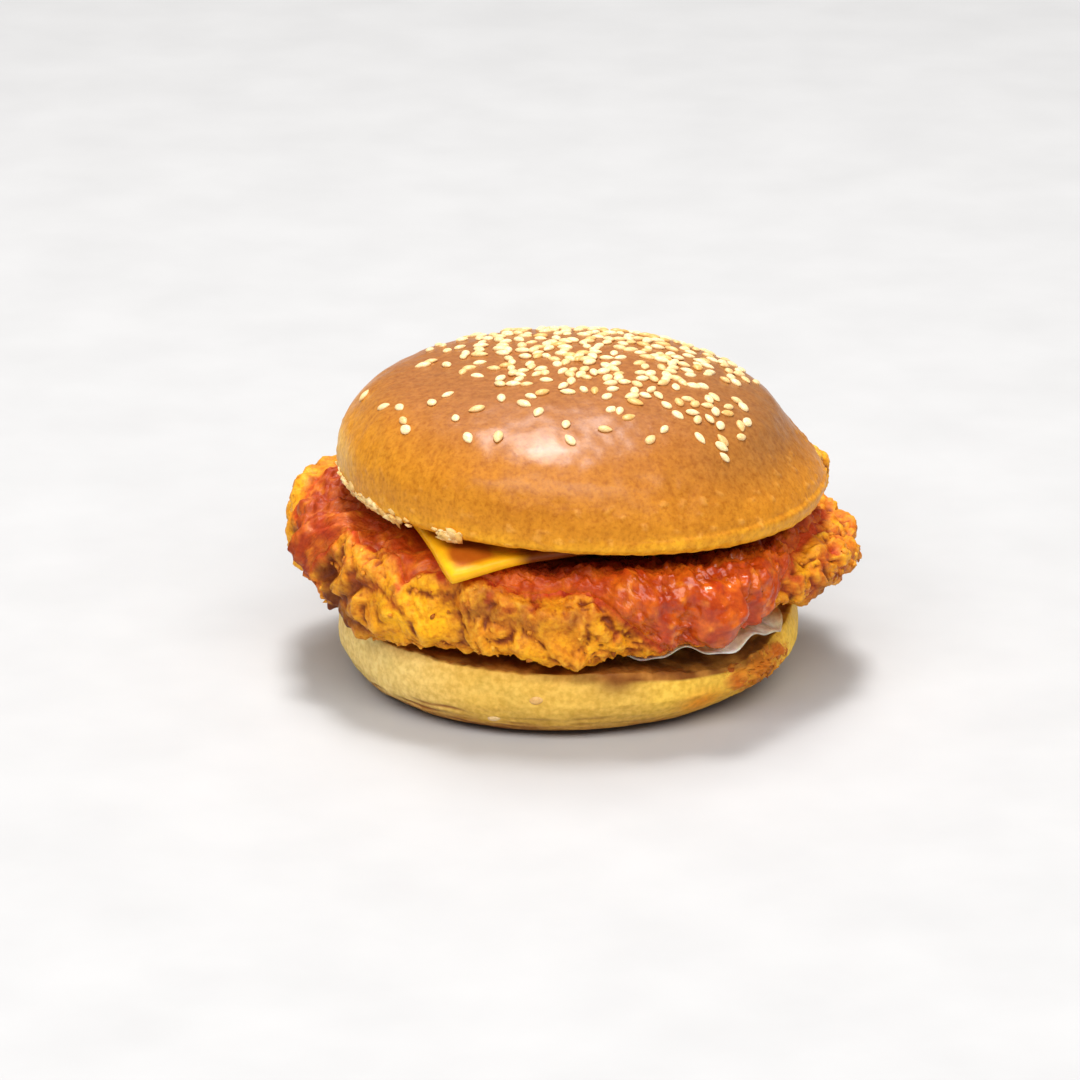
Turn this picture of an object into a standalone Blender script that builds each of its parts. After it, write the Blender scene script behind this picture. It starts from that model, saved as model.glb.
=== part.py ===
"""A crispy chicken burger as it stands: a seeded crown bun over a slice of cheese, a sauced fried fillet
that reaches past the bun on both sides, a pale leaf, and the heel of the bun.

The pieces are stacked from the table up. +X is to the right, +Y to the back and +Z up, with the origin
under the middle of the burger. Every piece keeps a small gap to the next, as meshes hold rounded numbers.
"""

import bisect
import math
import random

import bmesh
import bpy
from mathutils import Matrix, Vector, noise

MM = 0.001
GAP = 0.35 * MM

# Heel: the lower half of the bun.
HEEL_X = -0.6 * MM
HEEL_RADIUS = 52.0 * MM
HEEL_DEPTH_SHARE = 0.975  # its half width is a little under its half length
HEEL_HEIGHT = 17.2 * MM
HEEL_CUT_RISE = 0.2 * MM
HEEL_FOOT_RADIUS = 41.0 * MM
HEEL_FOOT_CUT = 4.0 * MM  # how much smaller the foot is at the right of the front
HEEL_FOOT_CUT_AT = math.radians(-35)
HEEL_WIDEST_AT = 9.0 * MM
HEEL_RIM_INSET = 1.2 * MM
HEEL_UNEVEN = 0.016
HEEL_SEEDS = ((-98, 0.62, 0.6 * MM), (-109, 0.30, 1.9 * MM))  # degrees, share of height, how far in
HEEL_SEGMENTS = 48

# Leaf: a thin wavy leaf on the heel, which shows at the right of the front.
LEAF_THICK = 1.0 * MM
LEAF_RADIUS = 41.0 * MM
LEAF_WAVE = 0.7 * MM
LEAF_LIFT_SHARE = 0.60  # of the room under the raised right front of the fillet
LEAF_CLEARANCE = 0.7 * MM
LEAF_MARGIN = 4.5 * MM
LEAF_SHOWS_AT = -44  # degrees
LEAF_SHOWS_WIDTH = 24  # degrees
LEAF_SHOWS_BY = 13.0 * MM
LEAF_SEGMENTS = 52
LEAF_RINGS = 4

# Fillet: the breaded chicken. Its lobes are (degrees round the edge, width in degrees, how far out).
FILLET_HALF_LENGTH = 59.5 * MM
FILLET_HALF_WIDTH = 51.5 * MM
FILLET_TOP = 38.8 * MM
FILLET_BOTTOM = 17.8 * MM
FILLET_LOBES = (
    (158, 17, 8.0 * MM),
    (190, 14, 1.5 * MM),
    (228, 14, 2.0 * MM),
    (268, 18, 3.0 * MM),
    (302, 14, 2.0 * MM),
    (350, 14, 4.0 * MM),
    (5, 7, 5.0 * MM),
    (27, 12, 8.0 * MM),
    (115, 20, 2.0 * MM),
)
FILLET_SQUARENESS = 4.0
FILLET_LIPS = ((205, 12, 1.5 * MM), (231, 12, 4.4 * MM), (270, 10, 3.8 * MM))  # where its edge hangs
FILLET_CURLS = ((157, 17, 2.6 * MM), (25, 10, 12.0 * MM))  # where its rim stands up
RIM_FROM = 46.0 * MM
RIM_OVER = 8.0 * MM
END_RISE = 0.10  # how steeply its underside rises at the two ends
LIFT_X = 50.0 * MM
LIFT_Y = -27.0 * MM
LIFT_WIDTH = 18.0 * MM
LIFT_HEIGHT = 4.2 * MM
CRUST_LUMPS = (2.1 * MM, 15.0 * MM)  # height, size
CRUST_KNOBS = (1.5 * MM, 7.5 * MM)
CRUST_FOLDS = (1.3 * MM, 10.0 * MM)
CRUST_COVERED_SHARE = 0.25  # of the relief, where bun or heel press on the crust
CRUST_EDGE_WIDTH = 0.42
FILLET_SEGMENTS = 76

# Sauce: (degrees round the fillet, how far it runs along the crust from the middle of the top, where 1 is
# the outermost edge).
SAUCE_THICK = 1.3 * MM
SAUCE_EDGE_THICK = 0.6 * MM
SAUCE_REACH = (
    (0, 0.82),
    (24, 0.72),
    (50, 0.90),
    (85, 1.06),
    (120, 0.92),
    (150, 0.78),
    (168, 0.82),
    (180, 0.90),
    (190, 1.02),
    (200, 0.83),
    (225, 0.83),
    (250, 0.85),
    (268, 0.88),
    (280, 0.95),
    (290, 1.06),
    (300, 1.13),
    (312, 1.12),
    (323, 1.00),
    (333, 0.86),
    (346, 0.80),
)
SAUCE_POOL = (306, 17, 1.5 * MM)  # degrees, width in degrees, how much thicker
SAUCE_POOL_SHARE = (0.88, 0.12)  # where the pool lies between the middle and the sauce's edge, and how wide
SAUCED_SHARES = (0.22, 0.46, 0.66, 0.80, 0.90, 0.96, 1.0)  # rings of the mesh under the sauce
BARE_SHARES = (0.03, 0.07, 0.115, 0.165, 0.215, 0.27, 0.34, 0.44, 0.60, 0.80)  # rings from its edge on

# Cheese: a square slice with one corner past the bun at the left of the front.
CHEESE_SIDE = 69.0 * MM
CHEESE_THICK = 2.4 * MM
CHEESE_TIP = (-26.5 * MM, -52.0 * MM)
CHEESE_TURN = math.radians(19)
CHEESE_DROOP_FROM = 43.0 * MM
CHEESE_DROOP_OVER = 14.0 * MM
CHEESE_DROOP = 3.9 * MM
CHEESE_CORNER_PULL = 0.025
CHEESE_STEPS = 8

# Crown: the upper half of the bun, fuller at its left side and a little lower at its right.
CROWN_X = 2.4 * MM
CROWN_Z = 43.7 * MM
CROWN_HALF_LENGTH = 54.6 * MM
CROWN_HALF_WIDTH = 53.0 * MM
CROWN_HEIGHT = 28.8 * MM
CROWN_LIP = 4.6 * MM
CROWN_LIP_INSET = 2.4 * MM
CROWN_ROUNDNESS = 2.25
CROWN_LEFT_FULLNESS = 0.3
CROWN_DENT = (4.4 * MM, math.radians(70), math.radians(17))  # its hollow at the right: depth, turn, width
CROWN_SHOULDER = (2.4 * MM, math.radians(42), math.radians(18))  # its fullness at the left
CROWN_SLOPE = 0.047
CROWN_TOP_SLOPE = -0.02
CROWN_UNEVEN = 0.012
CROWN_DIMPLES = (0.018, 26.0 * MM)
CROWN_SEGMENTS = 52
CROWN_TURNS = (8, 18, 28, 38, 48, 57, 66, 74, 82, 90, 115, 145, 180)

# Sesame seeds on the crown.
SEED_LENGTH = 3.4 * MM
SEED_WIDTH = 2.1 * MM
SEED_HEIGHT = 1.2 * MM
SEED_SUNK = 0.18 * MM
SEED_BED = (4 * MM, 11 * MM, 30 * MM)  # the middle and the radius of the thick bed
SEED_RUN = (0.5, 27 * MM, 9 * MM, -19 * MM, 13 * MM)  # share, middle and width in x, then in y
SEED_FEW = (0.10, 0 * MM, 36 * MM, -22 * MM, 18 * MM)
SEED_STRAY = 0.015
SEED_OUTERMOST = 47 * MM
SEEDS_DRAWN = 330
SEEDS_BUILT = 120
SEED_SPACING = 1.9 * MM
SEED_BUILT_SPACING = 3.9 * MM

COLOURS = {
    "crown": (0.70, 0.27, 0.04, 0.42),
    "cheese": (0.95, 0.42, 0.03, 0.35),
    "sauce": (0.52, 0.06, 0.01, 0.22),
    "fillet": (0.80, 0.37, 0.05, 0.60),
    "leaf": (0.55, 0.58, 0.36, 0.40),
    "heel": (0.78, 0.52, 0.14, 0.65),
}


def bump(value, centre, width):
    """1 at the centre, falling smoothly to 0 away from it."""
    return math.exp(-(((value - centre) / width) ** 2))


def turned(degrees, centre):
    """The angle from centre to degrees, between -180 and 180."""
    return (degrees - centre + 180) % 360 - 180


def finish_mesh(name, vertices, faces):
    """A smooth-shaded object of one closed mesh, with its own material."""
    mesh = bpy.data.meshes.new(name)
    mesh.from_pydata([tuple(v) for v in vertices], [], faces)
    mesh.validate()
    mesh.update()
    obj = bpy.data.objects.new(name, mesh)
    bpy.context.scene.collection.objects.link(obj)
    mesh.shade_smooth()
    mesh.set_sharp_from_angle(angle=math.radians(50))
    if name in COLOURS:
        mesh.materials.append(food_material(name))
    return obj


def food_material(name):
    red, green, blue, roughness = COLOURS[name]
    material = bpy.data.materials.new(name)
    material.use_nodes = True
    shader = material.node_tree.nodes["Principled BSDF"]
    shader.inputs["Base Color"].default_value = (red, green, blue, 1)
    shader.inputs["Roughness"].default_value = roughness
    shader.inputs["Metallic"].default_value = 0
    return material


def body_of_rings(name, first, rings, last):
    """A closed body from a pole, rings of equal count that go round counter-clockwise, and a pole below."""
    count = len(rings[0])
    vertices = [first] + [p for ring in rings for p in ring] + [last]
    end = len(vertices) - 1
    faces = [(0, 1 + i, 1 + (i + 1) % count) for i in range(count)]
    for k in range(len(rings) - 1):
        upper, lower = 1 + k * count, 1 + (k + 1) * count
        for i in range(count):
            j = (i + 1) % count
            faces.append((upper + i, lower + i, lower + j))
            faces.append((upper + i, lower + j, upper + j))
    start = 1 + (len(rings) - 1) * count
    faces += [(end, start + (i + 1) % count, start + i) for i in range(count)]
    return finish_mesh(name, vertices, faces)


def disc_triangles(segments, rings):
    """Triangles from a middle point out over rings of points, and the outermost ring as the border."""
    triangles = [(0, 1 + i, 1 + (i + 1) % segments) for i in range(segments)]
    for ring in range(rings - 1):
        inner, outer = 1 + ring * segments, 1 + (ring + 1) * segments
        for i in range(segments):
            j = (i + 1) % segments
            triangles.append((inner + i, outer + i, outer + j))
            triangles.append((inner + i, outer + j, inner + j))
    return triangles, [1 + (rings - 1) * segments + i for i in range(segments)]


def sheet_body(name, upper, lower, triangles, border):
    """A thin closed body: two faces split into the same triangles, and a strip round their border."""
    count = len(upper)
    faces = list(triangles)
    faces += [(a + count, c + count, b + count) for a, b, c in triangles]
    for i, a in enumerate(border):
        b = border[(i + 1) % len(border)]
        faces.append((a, a + count, b + count))
        faces.append((a, b + count, b))
    return finish_mesh(name, list(upper) + list(lower), faces)


# The heel.


def heel_profile():
    """The heel's outline from the rim of its cut face down to its foot, as (radius, height)."""
    points = [(HEEL_RADIUS - HEEL_RIM_INSET - 3.5 * MM, HEEL_HEIGHT - 0.1 * MM)]
    above = HEEL_HEIGHT - HEEL_WIDEST_AT
    for step in range(5):
        turn = math.radians(80 - 20 * step)
        radius = HEEL_RADIUS - HEEL_RIM_INSET * (1 - math.cos(turn)) / (1 - math.cos(math.radians(80)))
        points.append((radius, HEEL_WIDEST_AT + (above - 0.6 * MM) * math.sin(turn)))
    for step in range(1, 7):
        turn = math.radians(15 * step)
        radius = HEEL_FOOT_RADIUS + (HEEL_RADIUS - HEEL_FOOT_RADIUS) * math.cos(turn)
        points.append((radius, HEEL_WIDEST_AT * (1 - math.sin(turn))))
    return points


def heel_point(angle, radius, height):
    """A point of the heel, whose outline is a little uneven above its flat foot."""
    low = max(0.0, 1 - height / HEEL_WIDEST_AT)
    radius -= HEEL_FOOT_CUT * low * max(0.0, math.cos(angle - HEEL_FOOT_CUT_AT)) ** 2
    place = Vector((math.cos(angle), math.sin(angle), 0)) * 1.6
    uneven = 1 + HEEL_UNEVEN * noise.noise(place + Vector((3.1, 0, height / (12 * MM))))
    radius = radius * uneven if height > 0 else radius
    return Vector((HEEL_X + radius * math.cos(angle), HEEL_DEPTH_SHARE * radius * math.sin(angle), height))


def add_heel(seeds):
    angles = [2 * math.pi * i / HEEL_SEGMENTS for i in range(HEEL_SEGMENTS)]
    profile = heel_profile()
    cut = [(HEEL_RADIUS * share, HEEL_HEIGHT + HEEL_CUT_RISE * (1 - share)) for share in (0.3, 0.6)]
    rings = [[heel_point(a, r, z) for a in angles] for r, z in cut + profile]
    top = Vector((HEEL_X, 0, HEEL_HEIGHT + HEEL_CUT_RISE))
    heel = body_of_rings("heel", top, rings, Vector((HEEL_X, 0, 0)))
    for degrees, share, inset in HEEL_SEEDS:
        angle = math.radians(degrees)
        place = heel_point(angle, HEEL_RADIUS - inset, share * HEEL_HEIGHT)
        out = Vector((math.cos(angle), math.sin(angle), share - 0.5)).normalized()
        seeds.append((place, out, math.radians(30 * degrees)))
    return heel


# The leaf.


def lift(x, y):
    """How far the fillet stands clear of the heel at the right of the front."""
    square = ((x - LIFT_X) ** 2 + (y - LIFT_Y) ** 2) / (2 * LIFT_WIDTH**2)
    return LIFT_HEIGHT * math.exp(-square)


def leaf_middle(x, y):
    """Height of the leaf's middle surface: it lies on the heel and waves more towards its edge."""
    out = min(math.hypot(x, y) / LEAF_RADIUS, 1.2)
    wave = 0.5 + 0.5 * noise.noise(Vector((x, y, 0)) / (11 * MM))
    flat = HEEL_HEIGHT + HEEL_CUT_RISE + GAP + LEAF_THICK / 2
    return flat + LEAF_WAVE * wave * out**2 + LEAF_LIFT_SHARE * lift(x, y)


def leaf_outline(degrees):
    """Distance of the leaf's ruffled edge from its middle."""
    angle = math.radians(degrees)
    ruffle = 1.2 * MM * math.sin(9 * angle) + 0.8 * MM * math.sin(14 * angle + 1)
    return LEAF_RADIUS + LEAF_SHOWS_BY * bump(turned(degrees, LEAF_SHOWS_AT), 0, LEAF_SHOWS_WIDTH) + ruffle


def floor_below(x, y):
    """The lowest that the fillet may reach: on the leaf, or past the leaf's edge on the heel."""
    past = math.hypot(x, y) - leaf_outline(math.degrees(math.atan2(y, x))) - LEAF_MARGIN
    past_rim = math.hypot(x - HEEL_X, y / HEEL_DEPTH_SHARE) - HEEL_RADIUS - 0.8 * MM
    heel_top = HEEL_HEIGHT + HEEL_CUT_RISE + GAP - 1.5 * max(0.0, past_rim)
    return max(leaf_middle(x, y) + LEAF_THICK / 2 + LEAF_CLEARANCE - max(0.0, past), heel_top)


def add_leaf():
    upper, lower = [], []
    centre = Vector((0, 0, leaf_middle(0, 0)))
    half = Vector((0, 0, LEAF_THICK / 2))
    upper.append(centre + half)
    lower.append(centre - half)
    for ring in range(1, LEAF_RINGS + 1):
        for i in range(LEAF_SEGMENTS):
            degrees = 360 * i / LEAF_SEGMENTS
            angle = math.radians(degrees)
            radius = leaf_outline(degrees) * ring / LEAF_RINGS
            x, y = radius * math.cos(angle), radius * math.sin(angle)
            middle = Vector((x, y, leaf_middle(x, y)))
            upper.append(middle + half)
            lower.append(middle - half)
    triangles, border = disc_triangles(LEAF_SEGMENTS, LEAF_RINGS)
    return sheet_body("leaf", upper, lower, triangles, border)


# The cheese and the crown's cut face, which the fillet and the sauce stay under.


def crown_underside(x):
    return CROWN_Z - CROWN_SLOPE * (x - CROWN_X)


def cheese_top(x, y):
    """Height of the slice's upper face: flat under the crown, drooping towards and past its rim."""
    out = max(0.0, math.hypot(x - CROWN_X, y) - CHEESE_DROOP_FROM) / CHEESE_DROOP_OVER
    return crown_underside(x) - GAP - CHEESE_DROOP * out**2


def ceiling(x, y):
    """The highest that the sauce may reach: under the slice, and open outside the slice and the crown."""
    past_crown = math.hypot(x - CROWN_X, y) - crown_radius(math.atan2(y, x - CROWN_X)) - 1 * MM
    dx, dy = x - CHEESE_TIP[0], y - CHEESE_TIP[1]
    along = dx * math.cos(CHEESE_TURN) + dy * math.sin(CHEESE_TURN)
    across = dy * math.cos(CHEESE_TURN) - dx * math.sin(CHEESE_TURN)
    past_slice = max(-along, along - CHEESE_SIDE, -across, across - CHEESE_SIDE) - 3 * MM
    return cheese_top(x, y) - CHEESE_THICK - GAP + 8 * max(0.0, min(past_crown, past_slice))


def cheese_place(u, v):
    """A point of the slice in plan. u and v run from 0 at the tip to 1 along its two sides."""
    a, b = 2 * u - 1, 2 * v - 1
    pull = 1 - CHEESE_CORNER_PULL * (abs(a) * abs(b)) ** 12
    along = (a * pull + 1) / 2 * CHEESE_SIDE
    across = (b * pull + 1) / 2 * CHEESE_SIDE
    cos, sin = math.cos(CHEESE_TURN), math.sin(CHEESE_TURN)
    return CHEESE_TIP[0] + along * cos - across * sin, CHEESE_TIP[1] + along * sin + across * cos


def add_cheese():
    steps = CHEESE_STEPS
    upper, lower = [], []
    for j in range(steps + 1):
        for i in range(steps + 1):
            x, y = cheese_place(i / steps, j / steps)
            top = Vector((x, y, cheese_top(x, y)))
            upper.append(top)
            lower.append(top - Vector((0, 0, CHEESE_THICK)))
    row = steps + 1
    triangles = []
    for j in range(steps):
        for i in range(steps):
            a = j * row + i
            triangles += [(a, a + 1, a + row + 1), (a, a + row + 1, a + row)]
    border = [i for i in range(steps)]
    border += [steps + row * j for j in range(steps)]
    border += [row * steps + steps - i for i in range(steps)]
    border += [row * (steps - j) for j in range(steps)]
    return sheet_body("cheese", upper, lower, triangles, border)


# The fillet and the sauce on it.


def slab_table(steps=400):
    """The fillet's half section as (length share, radius share, height share), from the top's middle."""
    rows, length, last = [], 0.0, None
    for step in range(steps + 1):
        turn = math.pi * step / steps
        radius = abs(math.sin(turn)) ** (2 / FILLET_SQUARENESS)
        height = math.copysign(abs(math.cos(turn)) ** (2 / FILLET_SQUARENESS), math.cos(turn))
        point = Vector((radius * FILLET_HALF_LENGTH, height * (FILLET_TOP - FILLET_BOTTOM) / 2))
        length += (point - last).length if last else 0.0
        last = point
        rows.append((length, radius, height))
    return [(2 * done / length, radius, height) for done, radius, height in rows]


SLAB = slab_table()
SLAB_LENGTHS = [row[0] for row in SLAB]


def slab_section(along):
    """Radius share and height share at a length along the section: 0 mid top, 1 edge, 2 mid underside."""
    k = min(max(bisect.bisect_right(SLAB_LENGTHS, along), 1), len(SLAB) - 1)
    (a, r0, h0), (b, r1, h1) = SLAB[k - 1], SLAB[k]
    share = min(max((along - a) / (b - a), 0.0), 1.0)
    return r0 + share * (r1 - r0), h0 + share * (h1 - h0)


def fillet_outline(degrees):
    """Distance of the fillet's edge from its middle: an oval with lobes."""
    angle = math.radians(degrees)
    oval = 1 / math.hypot(math.cos(angle) / FILLET_HALF_LENGTH, math.sin(angle) / FILLET_HALF_WIDTH)
    return oval + sum(out * bump(turned(degrees, at), 0, width) for at, width, out in FILLET_LOBES)


def fillet_smooth(degrees, along):
    """The fillet's form without its crust: a thick slab that curls a little where nothing carries it."""
    radius_share, height_share = slab_section(along)
    radius = fillet_outline(degrees) * radius_share
    angle = math.radians(degrees)
    x, y = radius * math.cos(angle), radius * math.sin(angle)
    rim = min(max((radius - RIM_FROM) / RIM_OVER, 0.0), 1.0)
    curl = sum(up * bump(turned(degrees, at), 0, width) for at, width, up in FILLET_CURLS)
    lip = sum(down * bump(turned(degrees, at), 0, width) for at, width, down in FILLET_LIPS)
    top = FILLET_TOP - CROWN_SLOPE * x + curl * rim
    bottom = FILLET_BOTTOM + lift(x, y) + END_RISE * max(0.0, abs(x) - RIM_FROM) - lip * rim
    return Vector((x, y, (top + bottom) / 2 + height_share * (top - bottom) / 2))


def fillet_normal(degrees, along):
    step = 0.01
    low, high = max(along - step, 0.001), min(along + step, 1.999)
    down = fillet_smooth(degrees, high) - fillet_smooth(degrees, low)
    middle = min(max(along, 0.02), 1.98)
    round_ = fillet_smooth(degrees + 1, middle) - fillet_smooth(degrees - 1, middle)
    return down.cross(round_).normalized()


def crust_relief(point, along):
    """How far the craggy crust stands out from the smooth form: broad lumps, then knobs and folds."""
    lumps = CRUST_LUMPS[0] * noise.noise(point / CRUST_LUMPS[1] + Vector((0.7, 2.3, 5.1)))
    knobs = CRUST_KNOBS[0] * noise.noise(point / CRUST_KNOBS[1] + Vector((4.2, 0.4, 1.9)))
    crease = abs(noise.noise(point / CRUST_FOLDS[1] + Vector((8.8, 3.3, 0.2))))
    folds = CRUST_FOLDS[0] * (0.5 - 2 * crease)
    at_edge = bump(along, 1.0, CRUST_EDGE_WIDTH)
    return (lumps + knobs + folds) * (CRUST_COVERED_SHARE + (1 - CRUST_COVERED_SHARE) * at_edge)


def fillet_surface(degrees, along, out=0.0):
    """A point of the crust, or one that stands out from it."""
    smooth = fillet_smooth(degrees, along)
    point = smooth + fillet_normal(degrees, along) * (crust_relief(smooth, along) + out)
    roof = ceiling(point.x, point.y)
    point.z = min(point.z, roof - SAUCE_THICK - GAP + out, roof)
    point.z = max(point.z, floor_below(point.x, point.y))
    return point


def sauce_reach(degrees):
    """How far the sauce runs at this angle, smoothed between the places where it is known."""
    degrees %= 360
    for k, (start, reach) in enumerate(SAUCE_REACH):
        end, following = SAUCE_REACH[(k + 1) % len(SAUCE_REACH)]
        span = (end - start) % 360
        if (degrees - start) % 360 < span:
            share = (1 - math.cos(math.pi * ((degrees - start) % 360) / span)) / 2
            return reach + share * (following - reach)
    raise ValueError("the angles of SAUCE_REACH go round once")


def fillet_grid():
    """The angles and the lengths along the crust of the mesh that the fillet and the sauce share."""
    angles = [360 * i / FILLET_SEGMENTS for i in range(FILLET_SEGMENTS)]
    sauced = [[(d, share * sauce_reach(d)) for d in angles] for share in SAUCED_SHARES]
    bare = [[(d, sauce_reach(d) + share * (2 - sauce_reach(d))) for d in angles] for share in BARE_SHARES]
    return sauced, bare


def add_fillet():
    sauced, bare = fillet_grid()
    rings = [[fillet_surface(d, t) for d, t in ring] for ring in sauced + bare]
    return body_of_rings("fillet", fillet_surface(0, 0), rings, fillet_surface(0, 2))


def sauce_thickness(degrees, share):
    """Full on top, more where it pools at the right of the front, and thin at its edge."""
    at, width, more = SAUCE_POOL
    pool = more * bump(turned(degrees, at), 0, width) * bump(share, *SAUCE_POOL_SHARE)
    edge = max(0.0, (share - 0.9) / 0.1)
    return SAUCE_THICK + (SAUCE_EDGE_THICK - SAUCE_THICK) * edge**2 + pool


def add_sauce():
    """A skin over the fillet's top, whose two faces have the fillet's own triangles."""
    upper = [fillet_surface(0, 0, GAP + SAUCE_THICK)]
    lower = [fillet_surface(0, 0, GAP)]
    sauced, _ = fillet_grid()
    for share, ring in zip(SAUCED_SHARES, sauced):
        upper += [fillet_surface(d, t, GAP + sauce_thickness(d, share)) for d, t in ring]
        lower += [fillet_surface(d, t, GAP) for d, t in ring]
    triangles, border = disc_triangles(FILLET_SEGMENTS, len(sauced))
    return sheet_body("sauce", upper, lower, triangles, border)


def join_with(obj, heap):
    """Joins every object of a collection to obj in one union, and keeps the result as its mesh."""
    modifier = obj.modifiers.new("join", "BOOLEAN")
    modifier.operation = "UNION"
    modifier.solver = "EXACT"
    modifier.operand_type = "COLLECTION"
    modifier.collection = heap
    graph = bpy.context.evaluated_depsgraph_get()
    mesh = bpy.data.meshes.new_from_object(obj.evaluated_get(graph))
    obj.modifiers.remove(modifier)
    obj.data = mesh


def keep_largest(obj):
    """Drops the scraps that a union leaves beside the main body."""
    work = bmesh.new()
    work.from_mesh(obj.data)
    bmesh.ops.remove_doubles(work, verts=work.verts, dist=0.00002)
    left, islands = set(work.verts), []
    while left:
        front = [left.pop()]
        island = set(front)
        while front:
            vertex = front.pop()
            near = {edge.other_vert(vertex) for edge in vertex.link_edges} & left
            left -= near
            island |= near
            front += near
        islands.append(island)
    islands.sort(key=len)
    scraps = [vertex for island in islands[:-1] for vertex in island]
    bmesh.ops.delete(work, geom=scraps, context="VERTS")
    work.to_mesh(obj.data)
    work.free()


# The crown and its seeds.


def crown_roundness(angle):
    """The exponent of the dome's section: fuller at the left, more sloping at the right."""
    return CROWN_ROUNDNESS - CROWN_LEFT_FULLNESS * math.cos(angle)


def crown_radius(angle):
    return 1 / math.hypot(math.cos(angle) / CROWN_HALF_LENGTH, math.sin(angle) / CROWN_HALF_WIDTH)


def crown_local(angle, turn):
    """A point of the crown over its cut face. turn runs from 0 at the top to 180 at the lip."""
    wobble = noise.noise(Vector((1.3 * math.cos(angle), 1.3 * math.sin(angle), 7.7 + turn)))
    if turn <= math.pi / 2:
        power = 2 / crown_roundness(angle)
        depth, dent_at, dent_width = CROWN_DENT
        dent = depth * max(0.0, math.cos(angle)) * bump(turn, dent_at, dent_width)
        more, shoulder_at, shoulder_width = CROWN_SHOULDER
        shoulder = more * max(0.0, -math.cos(angle)) * bump(turn, shoulder_at, shoulder_width)
        radius = crown_radius(angle) * math.sin(turn) ** power - dent + shoulder
        height = CROWN_LIP + (CROWN_HEIGHT - CROWN_LIP) * max(math.cos(turn), 0.0) ** power
    else:
        radius = crown_radius(angle) - CROWN_LIP_INSET * (1 - math.sin(turn))
        height = CROWN_LIP * (1 + math.cos(turn))
    radius *= 1 + CROWN_UNEVEN * wobble
    point = Vector((radius * math.cos(angle), radius * math.sin(angle), 0))
    share, size = CROWN_DIMPLES
    point.z = height * (1 + share * noise.noise(point / size))
    return point


def crown_place(point):
    """Sets a point over the cut face onto the burger: the crown leans right, and its top less so."""
    share = point.z / CROWN_HEIGHT
    slope = CROWN_SLOPE + (CROWN_TOP_SLOPE - CROWN_SLOPE) * share
    return Vector((point.x + CROWN_X, point.y, point.z + CROWN_Z - slope * point.x))


def crown_turn_at(angle, radius):
    """The turn at which the dome has this radius."""
    share = min(radius / crown_radius(angle), 1.0)
    return math.asin(share ** (crown_roundness(angle) / 2))


def seed_likelihood(x, y):
    """How thickly the seeds lie, 0 to 1: a bed over the top, a run down the right front, few beyond."""
    off_bed = math.hypot(x - SEED_BED[0], y - SEED_BED[1]) / SEED_BED[2]
    bed = 1 / (1 + math.exp(14 * (off_bed - 1)))
    loose = (SEED_RUN, SEED_FEW)
    looser = sum(share * bump(x, a, w) * bump(y, b, d) for share, a, w, b, d in loose)
    return min(1.0, bed + looser + SEED_STRAY)


def draw_seeds():
    """Places of the seeds in plan and the way each one points, by a seeded draw."""
    draw = random.Random(7)
    placed = []
    while len(placed) < SEEDS_DRAWN:
        x = draw.uniform(-SEED_OUTERMOST, SEED_OUTERMOST)
        y = draw.uniform(-SEED_OUTERMOST, SEED_OUTERMOST)
        chance, heading, size = draw.random(), draw.uniform(0, 2 * math.pi), draw.uniform(0.88, 1.12)
        if math.hypot(x, y) > SEED_OUTERMOST or chance > seed_likelihood(x, y):
            continue
        if all(math.hypot(x - a, y - b) > SEED_SPACING for a, b, _, _ in placed):
            placed.append((x, y, heading, size))
    return placed


def seed_mesh():
    """A flat drop-shaped seed, pointed at its +X end."""
    work = bmesh.new()
    bmesh.ops.create_uvsphere(work, u_segments=6, v_segments=3, radius=0.5)
    bmesh.ops.rotate(work, verts=work.verts, matrix=Matrix.Rotation(math.pi / 2, 3, "Y"))
    for vertex in work.verts:
        narrow = 1 - 0.45 * max(0.0, vertex.co.x * 2) ** 1.5
        x, y, z = vertex.co
        vertex.co = (x * SEED_LENGTH, y * SEED_WIDTH * narrow, z * SEED_HEIGHT * narrow)
    mesh = bpy.data.meshes.new("seed")
    work.to_mesh(mesh)
    work.free()
    return mesh


def seed_matrix(place, out, heading, size=1.0):
    """Lays a seed on a surface at a place, flat against it and pressed in a little."""
    side = Vector((math.cos(heading), math.sin(heading), 0.17))
    along = (side - out * side.dot(out)).normalized()
    across = out.cross(along)
    turn = Matrix((along, across, out)).transposed().to_4x4()
    return Matrix.Translation(place + out * SEED_SUNK) @ turn @ Matrix.Diagonal((size, size, size, 1))


def fuse_seeds(obj, matrices):
    """Joins a seed at each place to the piece that it lies on."""
    mesh = seed_mesh()
    heap = bpy.data.collections.new("seeds")
    bpy.context.scene.collection.children.link(heap)
    for matrix in matrices:
        seed = bpy.data.objects.new("seed", mesh)
        seed.matrix_world = matrix
        heap.objects.link(seed)
    bpy.context.view_layer.update()
    join_with(obj, heap)
    for seed in list(heap.objects):
        bpy.data.objects.remove(seed)
    bpy.data.collections.remove(heap)
    obj.data.shade_smooth()
    obj.data.set_sharp_from_angle(angle=math.radians(50))
    keep_largest(obj)


def crown_seed(x, y, heading, size):
    angle, radius = math.atan2(y, x), math.hypot(x, y)
    turn = crown_turn_at(angle, radius)
    step = 0.02
    below, above = crown_local(angle, turn + step), crown_local(angle, max(turn - step, 0.0))
    down = crown_place(below) - crown_place(above)
    middle = max(turn, 0.05)
    ahead, behind = crown_local(angle + step, middle), crown_local(angle - step, middle)
    out = down.cross(crown_place(ahead) - crown_place(behind)).normalized()
    return seed_matrix(crown_place(crown_local(angle, turn)), out, heading, size)


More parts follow.
